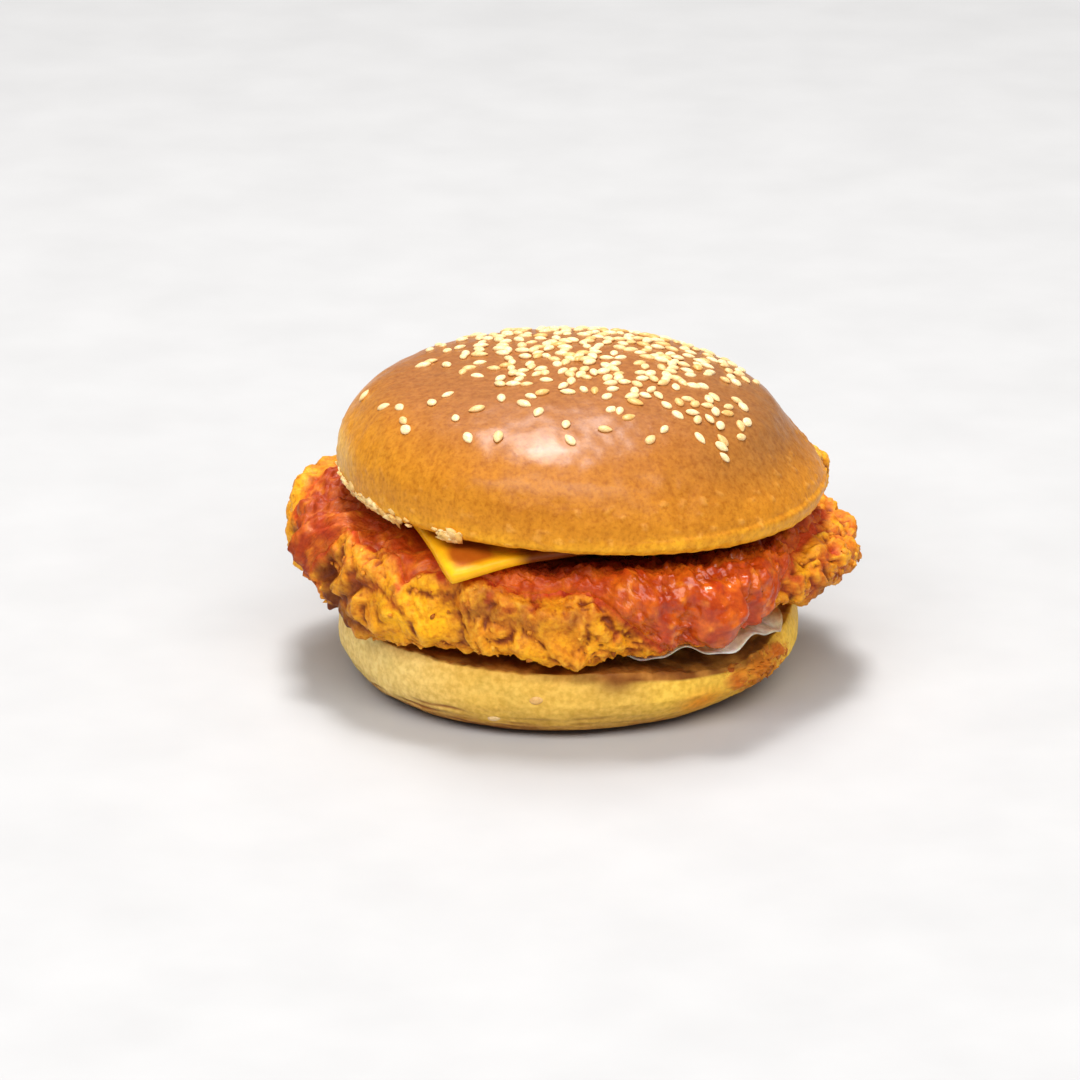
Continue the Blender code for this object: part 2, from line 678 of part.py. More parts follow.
def add_crown():
    angles = [2 * math.pi * i / CROWN_SEGMENTS for i in range(CROWN_SEGMENTS)]
    rings = [[crown_place(crown_local(a, math.radians(t))) for a in angles] for t in CROWN_TURNS]
    face = [crown_local(a, math.pi) for a in angles]
    rings += [[crown_place(Vector((p.x * share, p.y * share, 0))) for p in face] for share in (0.7, 0.35)]
    top = crown_place(crown_local(0, 0))
    crown = body_of_rings("crown", top, rings, crown_place(Vector((0, 0, 0))))
    chosen = []
    for x, y, heading, size in draw_seeds():
        if all(math.hypot(x - a, y - b) > SEED_BUILT_SPACING for a, b, _, _ in chosen):
            chosen.append((x, y, heading, size))
    fuse_seeds(crown, [crown_seed(*seed) for seed in chosen[:SEEDS_BUILT]])
    return crown


def main():
    for obj in list(bpy.data.objects):
        bpy.data.objects.remove(obj)
    heel_seeds = []
    heel = add_heel(heel_seeds)
    fuse_seeds(heel, [seed_matrix(*seed) for seed in heel_seeds])
    add_leaf()
    add_fillet()
    add_sauce()
    add_cheese()
    add_crown()


main()
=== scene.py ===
"""Dresses a crispy chicken burger: bread, leaf, fried crust, sauce, cheese and seeds, on a pale floor.

+X is to the right, -Y is towards the viewer and +Z is up, in metres. The sections follow the burger from the
table up, and each one holds what its own piece needs. Directions round the burger are in degrees from +X.
"""

import math
import random

import bmesh
import bpy
import numpy as np
from mathutils import Matrix, Vector, noise


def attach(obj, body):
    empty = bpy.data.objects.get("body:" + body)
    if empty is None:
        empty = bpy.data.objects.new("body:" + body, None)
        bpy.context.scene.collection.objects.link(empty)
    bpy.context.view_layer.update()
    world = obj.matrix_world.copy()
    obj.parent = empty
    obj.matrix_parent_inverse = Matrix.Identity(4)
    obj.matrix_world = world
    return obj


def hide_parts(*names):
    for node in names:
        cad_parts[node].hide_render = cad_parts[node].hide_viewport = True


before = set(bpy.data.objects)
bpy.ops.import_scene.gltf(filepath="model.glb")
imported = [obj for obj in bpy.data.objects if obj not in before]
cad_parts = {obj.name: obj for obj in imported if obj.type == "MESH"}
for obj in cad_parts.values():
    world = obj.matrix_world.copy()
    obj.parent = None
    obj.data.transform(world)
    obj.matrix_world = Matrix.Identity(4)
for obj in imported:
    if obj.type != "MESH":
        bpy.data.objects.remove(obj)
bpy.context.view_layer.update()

# Heel
# The lower half of a soft brioche bun. Its thin skin is pale yellow and browns in wrinkles where it stood on
# the baking tray, and its cut face is toasted on a griddle. The whole burger stands on it.

MM = 0.001
GAP = 0.35 * MM
HEEL_X = -0.6 * MM
HEEL_RADIUS = 52.0 * MM
HEEL_DEPTH_SHARE = 0.975
HEEL_HEIGHT = 17.2 * MM
HEEL_CUT_RISE = 0.2 * MM
HEEL_FOOT_RADIUS = 41.0 * MM
HEEL_FOOT_CUT = 4.0 * MM
HEEL_FOOT_CUT_AT = math.radians(-35)
HEEL_WIDEST_AT = 9.0 * MM
HEEL_RIM_INSET = 1.2 * MM
HEEL_UNEVEN = 0.016
HEEL_SAG = 3.3 * MM
HEEL_SAG_AT = -46
HEEL_SAG_WIDTH = 20
HEEL_SAG_REACH = 7 * MM
FOOT_LINES = (1.3, 2.7, 4.3, 6.0)
SPILT_AT = -36
SPILT_HEIGHT = 11 * MM
HEEL_COLUMNS = 520
HEEL_ROWS = 150
CUT_ROWS = 20
FOOT_ROWS = 6


def rgb(red, green, blue):
    """A colour as the eye sees it, from 0 to 255, as the linear values that paint needs."""
    seen = np.array((red, green, blue)) / 255
    return np.where(seen <= 0.04045, seen / 12.92, ((seen + 0.055) / 1.055) ** 2.4)


def xyz(x, y, z):
    """Points from their coordinates, any of which may be one number for all."""
    return np.stack(np.broadcast_arrays(x, y, z), axis=-1)


def in_units(points, size, shift):
    return (np.asarray(points) / size + np.array(shift)).reshape(-1, 3).tolist()


def noise_at(points, size, shift=(0, 0, 0)):
    """Smooth noise from about -1 to 1 at each point, with features of this size."""
    return np.array([noise.noise(place) for place in in_units(points, size, shift)])


def knuckles(points, size, shift):
    """Rounded mounds of this size with creases between them: 1 on the mounds, 0 in the creases."""
    away = np.array([noise.voronoi(place)[0][:2] for place in in_units(points, size, shift)])
    return np.sqrt(np.clip((away[:, 1] - away[:, 0]) * 1.6, 0, 1))


def billows(points, size, shift=(0, 0, 0)):
    """Rounded lumps of many sizes with sharp creases between them, about -0.5 in creases and 0.5 on lumps."""
    finer = {"amplitude_scale": 0.52, "frequency_scale": 2.05}
    rough = [noise.turbulence(place, 4, True, **finer) for place in in_units(points, size, shift)]
    return np.array(rough) * 1.25 - 0.55


def bump(value, centre, width):
    """1 at the centre, falling smoothly to 0 away from it."""
    return np.exp(-(((value - centre) / width) ** 2))


def facing(degrees, centre, width):
    """1 in the direction of centre, falling smoothly to 0 on both sides of it."""
    return bump((degrees - centre + 180) % 360 - 180, 0, width)


def ease(value, low, high):
    """0 below low, 1 above high, and a smooth step between them."""
    share = np.clip((value - low) / (high - low), 0, 1)
    return share * share * (3 - 2 * share)


def near(points, place, reach):
    """1 at a place in millimetres, falling smoothly to 0 at about twice the reach from it."""
    away = (points - np.array(place) * MM) / (np.array(reach) * MM)
    return np.exp(-(away**2).sum(axis=1))


def mixed(one, other, share):
    """Goes from one colour to another by one share, or by a share for each point."""
    share = np.asarray(share)[..., None]
    return one * (1 - share) + other * share


def between(low_tone, high_tone, share):
    return mixed(rgb(*low_tone), rgb(*high_tone), share)


def tinted(colour, *washes):
    """Lays washes over the colours one after the other, each one (tone, share)."""
    for tone, share in washes:
        colour = mixed(colour, rgb(*tone), share)
    return colour


def smooth_mesh(name, vertices, faces):
    mesh = bpy.data.meshes.new(name)
    mesh.from_pydata(np.asarray(vertices).tolist(), [], faces)
    mesh.shade_smooth()
    piece = bpy.data.objects.new(name, mesh)
    bpy.context.scene.collection.objects.link(piece)
    return piece


def wound(count, columns):
    """Rows of point numbers that each go round once, the next number for each, and the faces between."""
    index = np.arange(1, count + 1).reshape(-1, columns)
    after = np.roll(index, -1, axis=1)
    return index, after, np.stack([index[:-1], index[1:], after[1:], after[:-1]], axis=-1).reshape(-1, 4)


def closed_skin(name, first, points, last, columns):
    """A smooth closed mesh from a pole, points in rows that each go round once, and a pole below."""
    vertices = np.vstack([[first], points, [last]])
    index, after, sides = wound(len(points), columns)
    top = [(0, a, b) for a, b in zip(index[0].tolist(), after[0].tolist())]
    end = len(vertices) - 1
    bottom = [(end, b, a) for a, b in zip(index[-1].tolist(), after[-1].tolist())]
    return smooth_mesh(name, vertices, top + sides.tolist() + bottom)


def paint(piece, colours, wetness=None):
    """Keeps a colour at each point of the mesh, and how wet it is, for the finish to read."""
    layer = piece.data.attributes.new("tint", "FLOAT_COLOR", "POINT")
    wetness = np.ones(len(colours)) if wetness is None else wetness
    whole = np.hstack([np.clip(colours, 0, 1), wetness[:, None]])
    layer.data.foreach_set("color", whole.astype(np.float32).ravel())


def dress(piece, finish, slot, *nodes):
    """Gives a piece its finish and its place in the burger."""
    piece.data.materials.append(finish)
    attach(piece, "root")
    if nodes:
        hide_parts(*nodes)


def plain_finish(name, sockets):
    """A material with values that are the same all over it, by the names of the shader's sockets."""
    finish = bpy.data.materials.new(name)
    finish.use_nodes = True
    shader = finish.node_tree.nodes["Principled BSDF"]
    for label, value in sockets.items():
        shader.inputs[label.replace("_", " ")].default_value = value
    return finish, finish.node_tree, shader


def cloud(tree, size, detail, stretch=(1, 1, 1)):
    """Soft blotches of a size in millimetres, from 0 to 1."""
    place = tree.nodes.new("ShaderNodeTexCoord").outputs["Object"]
    scale = tree.nodes.new("ShaderNodeMapping")
    scale.inputs["Scale"].default_value = [share / (size * MM) for share in stretch]
    texture = tree.nodes.new("ShaderNodeTexNoise")
    texture.inputs["Scale"].default_value = 1
    texture.inputs["Detail"].default_value = detail
    tree.links.new(place, scale.inputs["Vector"])
    tree.links.new(scale.outputs["Vector"], texture.inputs["Vector"])
    return texture.outputs["Fac"]


def shades(tree, value, stops):
    """Colours along a value, from (place, colour) stops."""
    ramp = tree.nodes.new("ShaderNodeValToRGB")
    points = ramp.color_ramp.elements
    while len(points) < len(stops):
        points.new(0.5)
    for point, (place, colour) in zip(points, stops):
        point.position = place
        point.color = (*colour, 1)
    tree.links.new(value, ramp.inputs["Fac"])
    return ramp.outputs["Color"]


def ranged(tree, value, low, high, start, end):
    """Goes from start to end while a value goes from low to high."""
    spread = tree.nodes.new("ShaderNodeMapRange")
    for label, number in (("From Min", low), ("From Max", high), ("To Min", start), ("To Max", end)):
        spread.inputs[label].default_value = number
    tree.links.new(value, spread.inputs["Value"])
    return spread.outputs["Result"]


def new_finish(name, mottles, relief, patchy=None, by_wetness=(), **sockets):
    """A material of the painted colours, multiplied by mottles of (size, detail, stretch, *stops).

    relief has layers of (size, detail, depth) in millimetres. patchy is how rough the surface is, as (size of
    patches, least, most). by_wetness names sockets that follow the painted wetness, from dry to wet.
    """
    finish, tree, shader = plain_finish(name, sockets)
    painted = tree.nodes.new("ShaderNodeAttribute")
    painted.attribute_name = "tint"
    colour = painted.outputs["Color"]
    for size, detail, stretch, *stops in mottles:
        mix = tree.nodes.new("ShaderNodeMix")
        mix.data_type = "RGBA"
        mix.blend_type = "MULTIPLY"
        mix.inputs[0].default_value = 1
        tree.links.new(colour, mix.inputs[6])
        tree.links.new(shades(tree, cloud(tree, size, detail, stretch), stops), mix.inputs[7])
        colour = mix.outputs[2]
    tree.links.new(colour, shader.inputs["Base Color"])
    if patchy:
        size, least, most = patchy
        patches = ranged(tree, cloud(tree, size, 3), 0.3, 0.7, least, most)
        tree.links.new(patches, shader.inputs["Roughness"])
    for label, dry, wet in by_wetness:
        tree.links.new(ranged(tree, painted.outputs["Alpha"], 0, 1, dry, wet), shader.inputs[label])
    normal = None
    for size, detail, depth in relief:
        layer = tree.nodes.new("ShaderNodeBump")
        layer.inputs["Strength"].default_value = 1
        layer.inputs["Distance"].default_value = depth * MM
        tree.links.new(cloud(tree, size, detail), layer.inputs["Height"])
        if normal:
            tree.links.new(normal, layer.inputs["Normal"])
        normal = layer.outputs["Normal"]
    tree.links.new(normal, shader.inputs["Normal"])
    return finish


def heel_section():
    """The heel's half section as (radius, height), from the middle of its cut face round to its foot."""
    cut = [(HEEL_RADIUS * share, HEEL_HEIGHT + HEEL_CUT_RISE * (1 - share)) for share in (0.01, 0.3, 0.6)]
    cut.append((HEEL_RADIUS - HEEL_RIM_INSET - 3.5 * MM, HEEL_HEIGHT - 0.1 * MM))
    side = []
    for turn in np.radians(np.arange(80, -1, -5)):
        radius = HEEL_RADIUS - HEEL_RIM_INSET * (1 - math.cos(turn)) / (1 - math.cos(math.radians(80)))
        side.append((radius, HEEL_WIDEST_AT + (HEEL_HEIGHT - HEEL_WIDEST_AT - 0.6 * MM) * math.sin(turn)))
    for turn in np.radians(np.arange(5, 91, 5)):
        radius = HEEL_FOOT_RADIUS + (HEEL_RADIUS - HEEL_FOOT_RADIUS) * math.cos(turn)
        side.append((radius, HEEL_WIDEST_AT * (1 - math.sin(turn))))
    corners = np.array(cut + side + [(HEEL_FOOT_RADIUS * 0.5, 0), (0.5 * MM, 0)])
    length = np.concatenate([[0], np.cumsum(np.hypot(*np.diff(corners, axis=0).T))])
    side_from, side_to = length[len(cut) - 1], length[len(cut) + len(side) - 1]
    along = np.concatenate([
        np.linspace(0, side_from, CUT_ROWS, endpoint=False),
        np.linspace(side_from, side_to, HEEL_ROWS - CUT_ROWS - FOOT_ROWS),
        np.linspace(side_to, length[-1], FOOT_ROWS + 1)[1:],
    ])
    return np.interp(along, length, corners[:, 0]), np.interp(along, length, corners[:, 1])


def heel_points(angles, radius, height):
    low = np.maximum(0, 1 - height / HEEL_WIDEST_AT)
    radius = radius - HEEL_FOOT_CUT * low * np.maximum(0, np.cos(angles - HEEL_FOOT_CUT_AT)) ** 2
    uneven = noise_at(xyz(1.6 * np.cos(angles) + 3.1, 1.6 * np.sin(angles), height / (12 * MM)), 1)
    radius = np.where(height > 0, radius * (1 + HEEL_UNEVEN * uneven), radius)
    return xyz(HEEL_X + radius * np.cos(angles), HEEL_DEPTH_SHARE * radius * np.sin(angles), height)


def heel_sag(degrees, height):
    """How far the heel's rim is pressed down at the right of the front."""
    near_rim = ease(height, HEEL_HEIGHT - HEEL_SAG_REACH, HEEL_HEIGHT)
    return HEEL_SAG * facing(degrees, HEEL_SAG_AT, HEEL_SAG_WIDTH) * near_rim


def make_heel():
    radius, height = heel_section()
    angles = np.tile(np.linspace(0, 2 * math.pi, HEEL_COLUMNS, endpoint=False), len(radius))
    degrees = np.degrees(angles)
    r, unpressed = np.repeat(radius, HEEL_COLUMNS), np.repeat(height, HEEL_COLUMNS)
    points = heel_points(angles, r, unpressed)
    out = xyz(np.cos(angles), np.sin(angles), 0) * MM
    side = ease(r, HEEL_RADIUS * 0.80, HEEL_RADIUS * 0.93) * ease(unpressed, 0, 1.2 * MM)
    on_cut = ease(unpressed, HEEL_HEIGHT - 0.9 * MM, HEEL_HEIGHT - 0.3 * MM)
    dents = 0.5 * noise_at(points, 13 * MM)
    folds = 0.45 * bump(unpressed, 3.2 * MM, 3.4 * MM) * noise_at(points / (6, 6, 1.5), MM, (4, 0, 0))
    skin = 0.10 * noise_at(points, 1.7 * MM, (0, 9, 0))
    points += out * ((dents + folds + skin) * side)[:, None]
    wander = noise_at(points / (8, 8, 30), MM, (0, 2, 7))
    foot_lines = sum(bump(unpressed / MM + wander, line, 0.42) for line in FOOT_LINES)
    foot_lines *= 0.25 + 0.75 * facing(degrees, 228, 40)
    foot_lines *= ease(noise_at(points / (7, 7, 2.5), MM, (3, 3, 1)), -0.35, 0.35)
    points -= out * (0.3 * foot_lines * side)[:, None]
    spilt = facing(degrees, SPILT_AT, 12) * bump(unpressed, SPILT_HEIGHT, 5.5 * MM)
    spilt *= ease(billows(points, 4.2 * MM, (1, 9, 9)), -0.25, 0.05)
    points += out * (1.9 * spilt * (0.6 + billows(points, 2.4 * MM)))[:, None]
    points[:, 2] -= heel_sag(degrees, unpressed)
    ragged = 0.45 * noise_at(points, 2.3 * MM, (2, 2, 2)) + 0.5 * noise_at(points, 6 * MM)
    points[:, 2] += ragged * MM * ease(unpressed, HEEL_HEIGHT - 2.5 * MM, HEEL_HEIGHT - 0.5 * MM)
    points[:, 2] -= 0.6 * (1 - knuckles(points, 3.0 * MM, (7, 7, 7))) * on_cut * MM
    points[:, 2] = np.maximum(points[:, 2], 0)
    heel = closed_skin("heel_bread", (HEEL_X, 0, HEEL_HEIGHT), points, (HEEL_X, 0, 0), HEEL_COLUMNS)

    x, y, z = points.T
    blotch = noise_at(points, 8 * MM, (5, 1, 0))
    low = z + 1.7 * MM * noise_at(points, 5 * MM, (1, 8, 1)) + 0.9 * MM * noise_at(points, 2 * MM)
    colour = between((250, 218, 136), (234, 190, 88), ease(x, -46 * MM, -18 * MM))
    colour = tinted(
        colour,
        ((255, 210, 76), ease(x + 8 * MM * blotch, 8 * MM, 40 * MM) * ease(-y, -20 * MM, 12 * MM)),
        ((250, 214, 138), 0.6 * ease(y, -10 * MM, 25 * MM)),
        ((206, 182, 100), 0.35 * ease(blotch, 0.1, 0.5) * ease(-x, 0, 30 * MM)),
        ((199, 138, 60), 0.85 * (1 - ease(low, 1.5 * MM, 5.5 * MM))),
        ((138, 84, 36), 0.9 * (1 - ease(low, 0.3 * MM, 2.3 * MM))),
        ((146, 82, 44), np.clip(0.95 * foot_lines * side, 0, 0.85)),
    )
    spill = between((206, 96, 24), (240, 158, 44), ease(blotch, -0.3, 0.2))
    colour = tinted(
        mixed(colour, spill, 0.9 * ease(spilt, 0.1, 0.5)),
        ((122, 66, 20), 0.95 * near(points, (10.0, -50.5, 14.6), (4.6, 4, 2.6))),
        ((244, 150, 20), 0.95 * near(points, (29, -42, 6.5), (5.5, 6, 3.0))),
        ((206, 110, 30), 0.75 * near(points, (42, -30, 11), (7, 9, 5))),
    )
    by_rim = ease(unpressed + 0.5 * MM * blotch, HEEL_HEIGHT - 3.4 * MM, HEEL_HEIGHT - 1.6 * MM)
    # The seared tone is toasting on the cut face; over the rim at the right of the front it is partly painted
    # shade.
    toast_and_shade = on_cut * ease(r, 0, HEEL_RADIUS * 0.2) + 1.3 * facing(degrees, -62, 26) * by_rim
    seared = between((134, 78, 24), (196, 134, 58), ease(noise_at(points, 5 * MM, (3, 3, 9)), -0.1, 0.5))
    colour = mixed(colour, seared, np.clip(toast_and_shade * 1.2 + 0.25 * on_cut, 0, 1))
    paint(heel, np.vstack([[seared[0]], colour, [rgb(150, 92, 40)]]))
    return heel


bread = new_finish(
    "soft_bread_skin",
    (
        (1.3, 4, (1, 1, 1), (0.35, (0.86, 0.80, 0.66)), (0.62, (1.06, 1.06, 1.08))),
        (3.5, 3, (1, 1, 2.6), (0.3, (0.93, 0.90, 0.80)), (0.65, (1.05, 1.05, 1.05))),
    ),
    relief=((0.9, 4, 0.16), (0.35, 2, 0.05)),
    patchy=(2.2, 0.5, 0.75),
    Specular_IOR_Level=0.2,
    Subsurface_Weight=0.1,
    Subsurface_Scale=0.002,
    Subsurface_Radius=(1.0, 0.55, 0.25),
)
dress(make_heel(), bread, "heel", "heel")

# Leaf
# One thin limp leaf laid on the heel, pale and half see-through, whose ruffled edge hangs out at the right of
# the front in a few glossy folds.

LEAF_THICK = 1.0 * MM
LEAF_RADIUS = 41.0 * MM
LEAF_WAVE = 0.7 * MM
LEAF_LIFT_SHARE = 0.60
LEAF_CLEARANCE = 0.7 * MM
LEAF_MARGIN = 4.5 * MM
LEAF_SHOWS_AT = -44
LEAF_SHOWS_WIDTH = 24
LEAF_SHOWS_BY = 13.0 * MM
LEAF_COLUMNS = 420
LEAF_ROWS = 40
LIFT_X = 50.0 * MM
LIFT_Y = -27.0 * MM
LIFT_WIDTH = 18.0 * MM
LIFT_HEIGHT = 4.2 * MM


def lift(x, y):
    """How far the fillet stands clear of the heel at the right of the front."""
    return LIFT_HEIGHT * np.exp(-((x - LIFT_X) ** 2 + (y - LIFT_Y) ** 2) / (2 * LIFT_WIDTH**2))


def leaf_middle(x, y):
    out = np.minimum(np.hypot(x, y) / LEAF_RADIUS, 1.2)
    wave = 0.5 + 0.5 * noise_at(xyz(x, y, 0), 11 * MM)
    flat = HEEL_HEIGHT + HEEL_CUT_RISE + GAP + LEAF_THICK / 2
    return flat + LEAF_WAVE * wave * out**2 + LEAF_LIFT_SHARE * lift(x, y)


def leaf_outline(degrees):
    angle = np.radians(degrees)
    ruffle = 1.2 * MM * np.sin(9 * angle) + 0.8 * MM * np.sin(14 * angle + 1)
    return LEAF_RADIUS + LEAF_SHOWS_BY * facing(degrees, LEAF_SHOWS_AT, LEAF_SHOWS_WIDTH) + ruffle


def two_faced(name, upper, lower, columns):
    """A thin closed mesh from two grids of points that share their pattern, with a middle point added."""
    count = 1 + len(upper)
    index, after, quads = wound(len(upper), columns)
    top = np.vstack([upper[:columns].mean(axis=0)[None], upper])
    under = np.vstack([lower[:columns].mean(axis=0)[None], lower])
    fan = np.stack([0 * index[0], index[0], after[0]], axis=-1)
    rim = np.stack([index[-1], index[-1] + count, after[-1] + count, after[-1]], axis=-1)
    faces = fan.tolist() + quads.tolist()
    faces += (fan[:, ::-1] + count).tolist() + (quads[:, ::-1] + count).tolist() + rim.tolist()
    return smooth_mesh(name, np.vstack([top, under]), faces)


def make_leaf():
    d = np.tile(np.linspace(0, 360, LEAF_COLUMNS, endpoint=False), LEAF_ROWS)
    share = np.repeat(np.linspace(1 / LEAF_ROWS, 1, LEAF_ROWS) ** 0.7, LEAF_COLUMNS)
    frill = 2.4 * MM * facing(d, -33, 9) + 0.5 * MM * noise_at(xyz(d / 4, 0, 0), 1)
    radius = (leaf_outline(d) + frill) * share
    x, y = radius * np.cos(np.radians(d)), radius * np.sin(np.radians(d))
    shows = facing(d, LEAF_SHOWS_AT, 34) * ease(share, 0.72, 1.0)
    folds = (1.3 * np.sin(d / 2.9 + 5 * share) + 0.5 * np.sin(d / 1.3 + 3)) * shows * MM
    droop = -1.1 * MM * shows * ease(share, 0.86, 1.0)
    middle = leaf_middle(x, y) + folds + droop
    half = 0.5 * LEAF_THICK * (1 - 0.62 * ease(share, 0.8, 1.0))
    upper = xyz(x, y, middle + half)
    leaf = two_faced("leaf_blade", upper, xyz(x, y, middle - half), LEAF_COLUMNS)
    colour = between((232, 222, 196), (252, 248, 240), ease(noise_at(upper, 5 * MM), -0.3, 0.4))
    colour = tinted(
        colour,
        ((206, 190, 84), 0.8 * ease(x, 40 * MM, 49 * MM)),
        ((168, 138, 130), 0.5 * ease(noise_at(upper, 8 * MM, (3, 0, 0)), 0, 0.5)),
    )
    paint(leaf, np.vstack([colour[:1], colour, colour[:1], colour]))
    return leaf


limp_leaf = new_finish(
    "limp_pale_leaf",
    ((1.6, 3, (1, 1, 0.4), (0.35, (0.78, 0.76, 0.72)), (0.6, (1.1, 1.1, 1.1))),),
    relief=((1.8, 3, 0.2),),
    Roughness=0.24,
    Subsurface_Weight=0.25,
    Subsurface_Scale=0.002,
    Transmission_Weight=0.04,
)
dress(make_leaf(), limp_leaf, "leaf", "leaf")

# Fillet
# A chicken thigh in a thick seasoned crust, fried golden. The crust stands out in clumps with creases
# between them, a lip of it dams the sauce at the left of the front, and its right end curls up.

FILLET_HALF_LENGTH = 59.5 * MM
FILLET_HALF_WIDTH = 51.5 * MM
FILLET_TOP = 38.8 * MM
FILLET_BOTTOM = 17.8 * MM
FILLET_LOBES = (
    (158, 17, 8.0 * MM),
    (190, 14, 1.5 * MM),
    (228, 14, 2.0 * MM),
    (268, 18, 3.0 * MM),
    (302, 14, 2.0 * MM),
    (350, 14, 4.0 * MM),
    (5, 7, 5.0 * MM),
    (27, 12, 8.0 * MM),
    (115, 20, 2.0 * MM),
)
FILLET_SQUARENESS = 4.0
FILLET_LIPS = ((205, 12, 1.5 * MM), (231, 12, 4.4 * MM), (270, 10, 3.8 * MM))
FILLET_CURLS = ((157, 17, 2.6 * MM), (25, 10, 12.0 * MM))
RIM_FROM = 46.0 * MM
RIM_OVER = 8.0 * MM
END_RISE = 0.10
CRUST_LUMPS = (2.1 * MM, 15.0 * MM)
CRUST_KNOBS = (1.5 * MM, 7.5 * MM)
CRUST_FOLDS = (1.3 * MM, 10.0 * MM)
CRUST_COVERED_SHARE = 0.25
CRUST_EDGE_WIDTH = 0.42
CRUST_PITS = (
    (214, 0.955, 2.6, 2.4),
    (208, 0.93, 2.4, 1.8),
    (202, 1.0, 2.0, 1.8),
    (211, 1.05, 1.6, 1.4),
    (322, 1.02, 2.0, 1.2),
)
CRUST_PILLOWS = (
    (227, 0.97, 7.5, 0.9),
    (236, 1.00, 6.0, 0.9),
    (267, 0.99, 6.0, 0.3),
    (176, 0.93, 7.0, 0.7),
    (262, 1.08, 4.0, 0.4),
    (27, 0.80, 7.0, 0.8),
)
# Brown spots on the crust: those over the pits at 202, 208 and 214 degrees are painted shade in the pits, the
# rest browned crust.
CRUST_BROWNED_AND_PIT_SHADE = (
    (249, 0.96, 5.0),
    (260, 0.96, 3.6),
    (271, 0.95, 3.2),
    (243, 1.06, 2.4),
    (214, 0.96, 2.6),
    (208, 0.94, 3.2),
    (202, 1.01, 2.6),
    (338, 1.08, 4),
)
FILLET_COLUMNS = 700
FILLET_ROWS = (14, 104, 12)
SAUCE_THICK = 1.3 * MM
SAUCE_SHY = 1.2 * MM
SAUCE_REACH = (
    (0, 0.80), (24, 0.72), (50, 0.90), (85, 1.06), (120, 0.92), (150, 0.76), (166, 0.76), (171, 0.83),
    (177, 0.88), (186, 0.95), (192, 1.04), (196, 1.05), (202, 0.90), (205, 0.81), (210, 0.84), (216, 0.81),
    (223, 0.83), (228, 0.90), (231, 0.83), (238, 0.85), (249, 0.85), (258, 0.85), (262, 0.83), (267, 0.80),
    (273, 0.83), (277, 0.87), (279, 0.92), (283, 0.98), (289, 1.06), (294, 1.09), (302, 1.12), (312, 1.11),
    (318, 1.08), (322, 1.00), (326, 0.92), (332, 0.86), (340, 0.80), (349, 0.76), (360, 0.80),
)
CHEESE_SIDE = 69.0 * MM
CHEESE_THICK = 2.4 * MM
CHEESE_TIP = (-26.5 * MM, -52.0 * MM)
CHEESE_TURN = math.radians(19)
CHEESE_DROOP_FROM = 43.0 * MM
CHEESE_DROOP_OVER = 14.0 * MM
CHEESE_DROOP = 3.9 * MM
CROWN_X = 2.4 * MM
CROWN_Z = 43.7 * MM
CROWN_HALF_LENGTH = 54.6 * MM
CROWN_HALF_WIDTH = 53.0 * MM
CROWN_SLOPE = 0.047


def crown_radius(angle):
    return 1 / np.hypot(np.cos(angle) / CROWN_HALF_LENGTH, np.sin(angle) / CROWN_HALF_WIDTH)


def inside_crown(x, y):
    """How far places in plan lie inside the crown's rim."""
    return crown_radius(np.arctan2(y, x - CROWN_X)) - np.hypot(x - CROWN_X, y)


def cheese_top(x, y):
    out = np.maximum(0, np.hypot(x - CROWN_X, y) - CHEESE_DROOP_FROM) / CHEESE_DROOP_OVER
    return CROWN_Z - CROWN_SLOPE * (x - CROWN_X) - GAP - CHEESE_DROOP * out**2


def ceiling(x, y):
    """The highest that the sauce may reach: under the slice, beside it under the crown, or free of both."""
    past_crown = -inside_crown(x, y) - 1 * MM
    dx, dy = x - CHEESE_TIP[0], y - CHEESE_TIP[1]
    along = dx * math.cos(CHEESE_TURN) + dy * math.sin(CHEESE_TURN)
    across = dy * math.cos(CHEESE_TURN) - dx * math.sin(CHEESE_TURN)
    outside = np.maximum.reduce([-along, along - CHEESE_SIDE, -across, across - CHEESE_SIDE])
    beside = ease(outside, 0.3 * MM, 2.5 * MM)
    shy = SAUCE_SHY * facing(np.degrees(np.arctan2(y, x - CROWN_X)), 265, 50) * (1 - beside)
    roof = cheese_top(x, y) - CHEESE_THICK - GAP - shy + 2.6 * MM * beside
    return roof + 8 * np.maximum(0, np.minimum(past_crown, outside - 3 * MM))


def floor_below(x, y):
    """The lowest that the fillet may reach: on the leaf, or past the leaf's edge on the heel."""
    past = np.hypot(x, y) - leaf_outline(np.degrees(np.arctan2(y, x))) - LEAF_MARGIN
    past_rim = np.hypot(x - HEEL_X, y / HEEL_DEPTH_SHARE) - HEEL_RADIUS - 0.8 * MM
    heel_top = HEEL_HEIGHT + HEEL_CUT_RISE + GAP - 1.5 * np.maximum(0, past_rim)
    return np.maximum(leaf_middle(x, y) + LEAF_THICK / 2 + LEAF_CLEARANCE - np.maximum(0, past), heel_top)


def slab_table():
    """Radius and height of the fillet's half section, by how far along it they lie, from 0 to 2."""
    turn = np.linspace(0, math.pi, 401)
    radius = np.abs(np.sin(turn)) ** (2 / FILLET_SQUARENESS)
    height = np.copysign(np.abs(np.cos(turn)) ** (2 / FILLET_SQUARENESS), np.cos(turn))
    rise = np.diff(height) * (FILLET_TOP - FILLET_BOTTOM) / 2
    done = np.concatenate([[0], np.cumsum(np.hypot(np.diff(radius) * FILLET_HALF_LENGTH, rise))])
    return 2 * done / done[-1], radius, height


SLAB = slab_table()


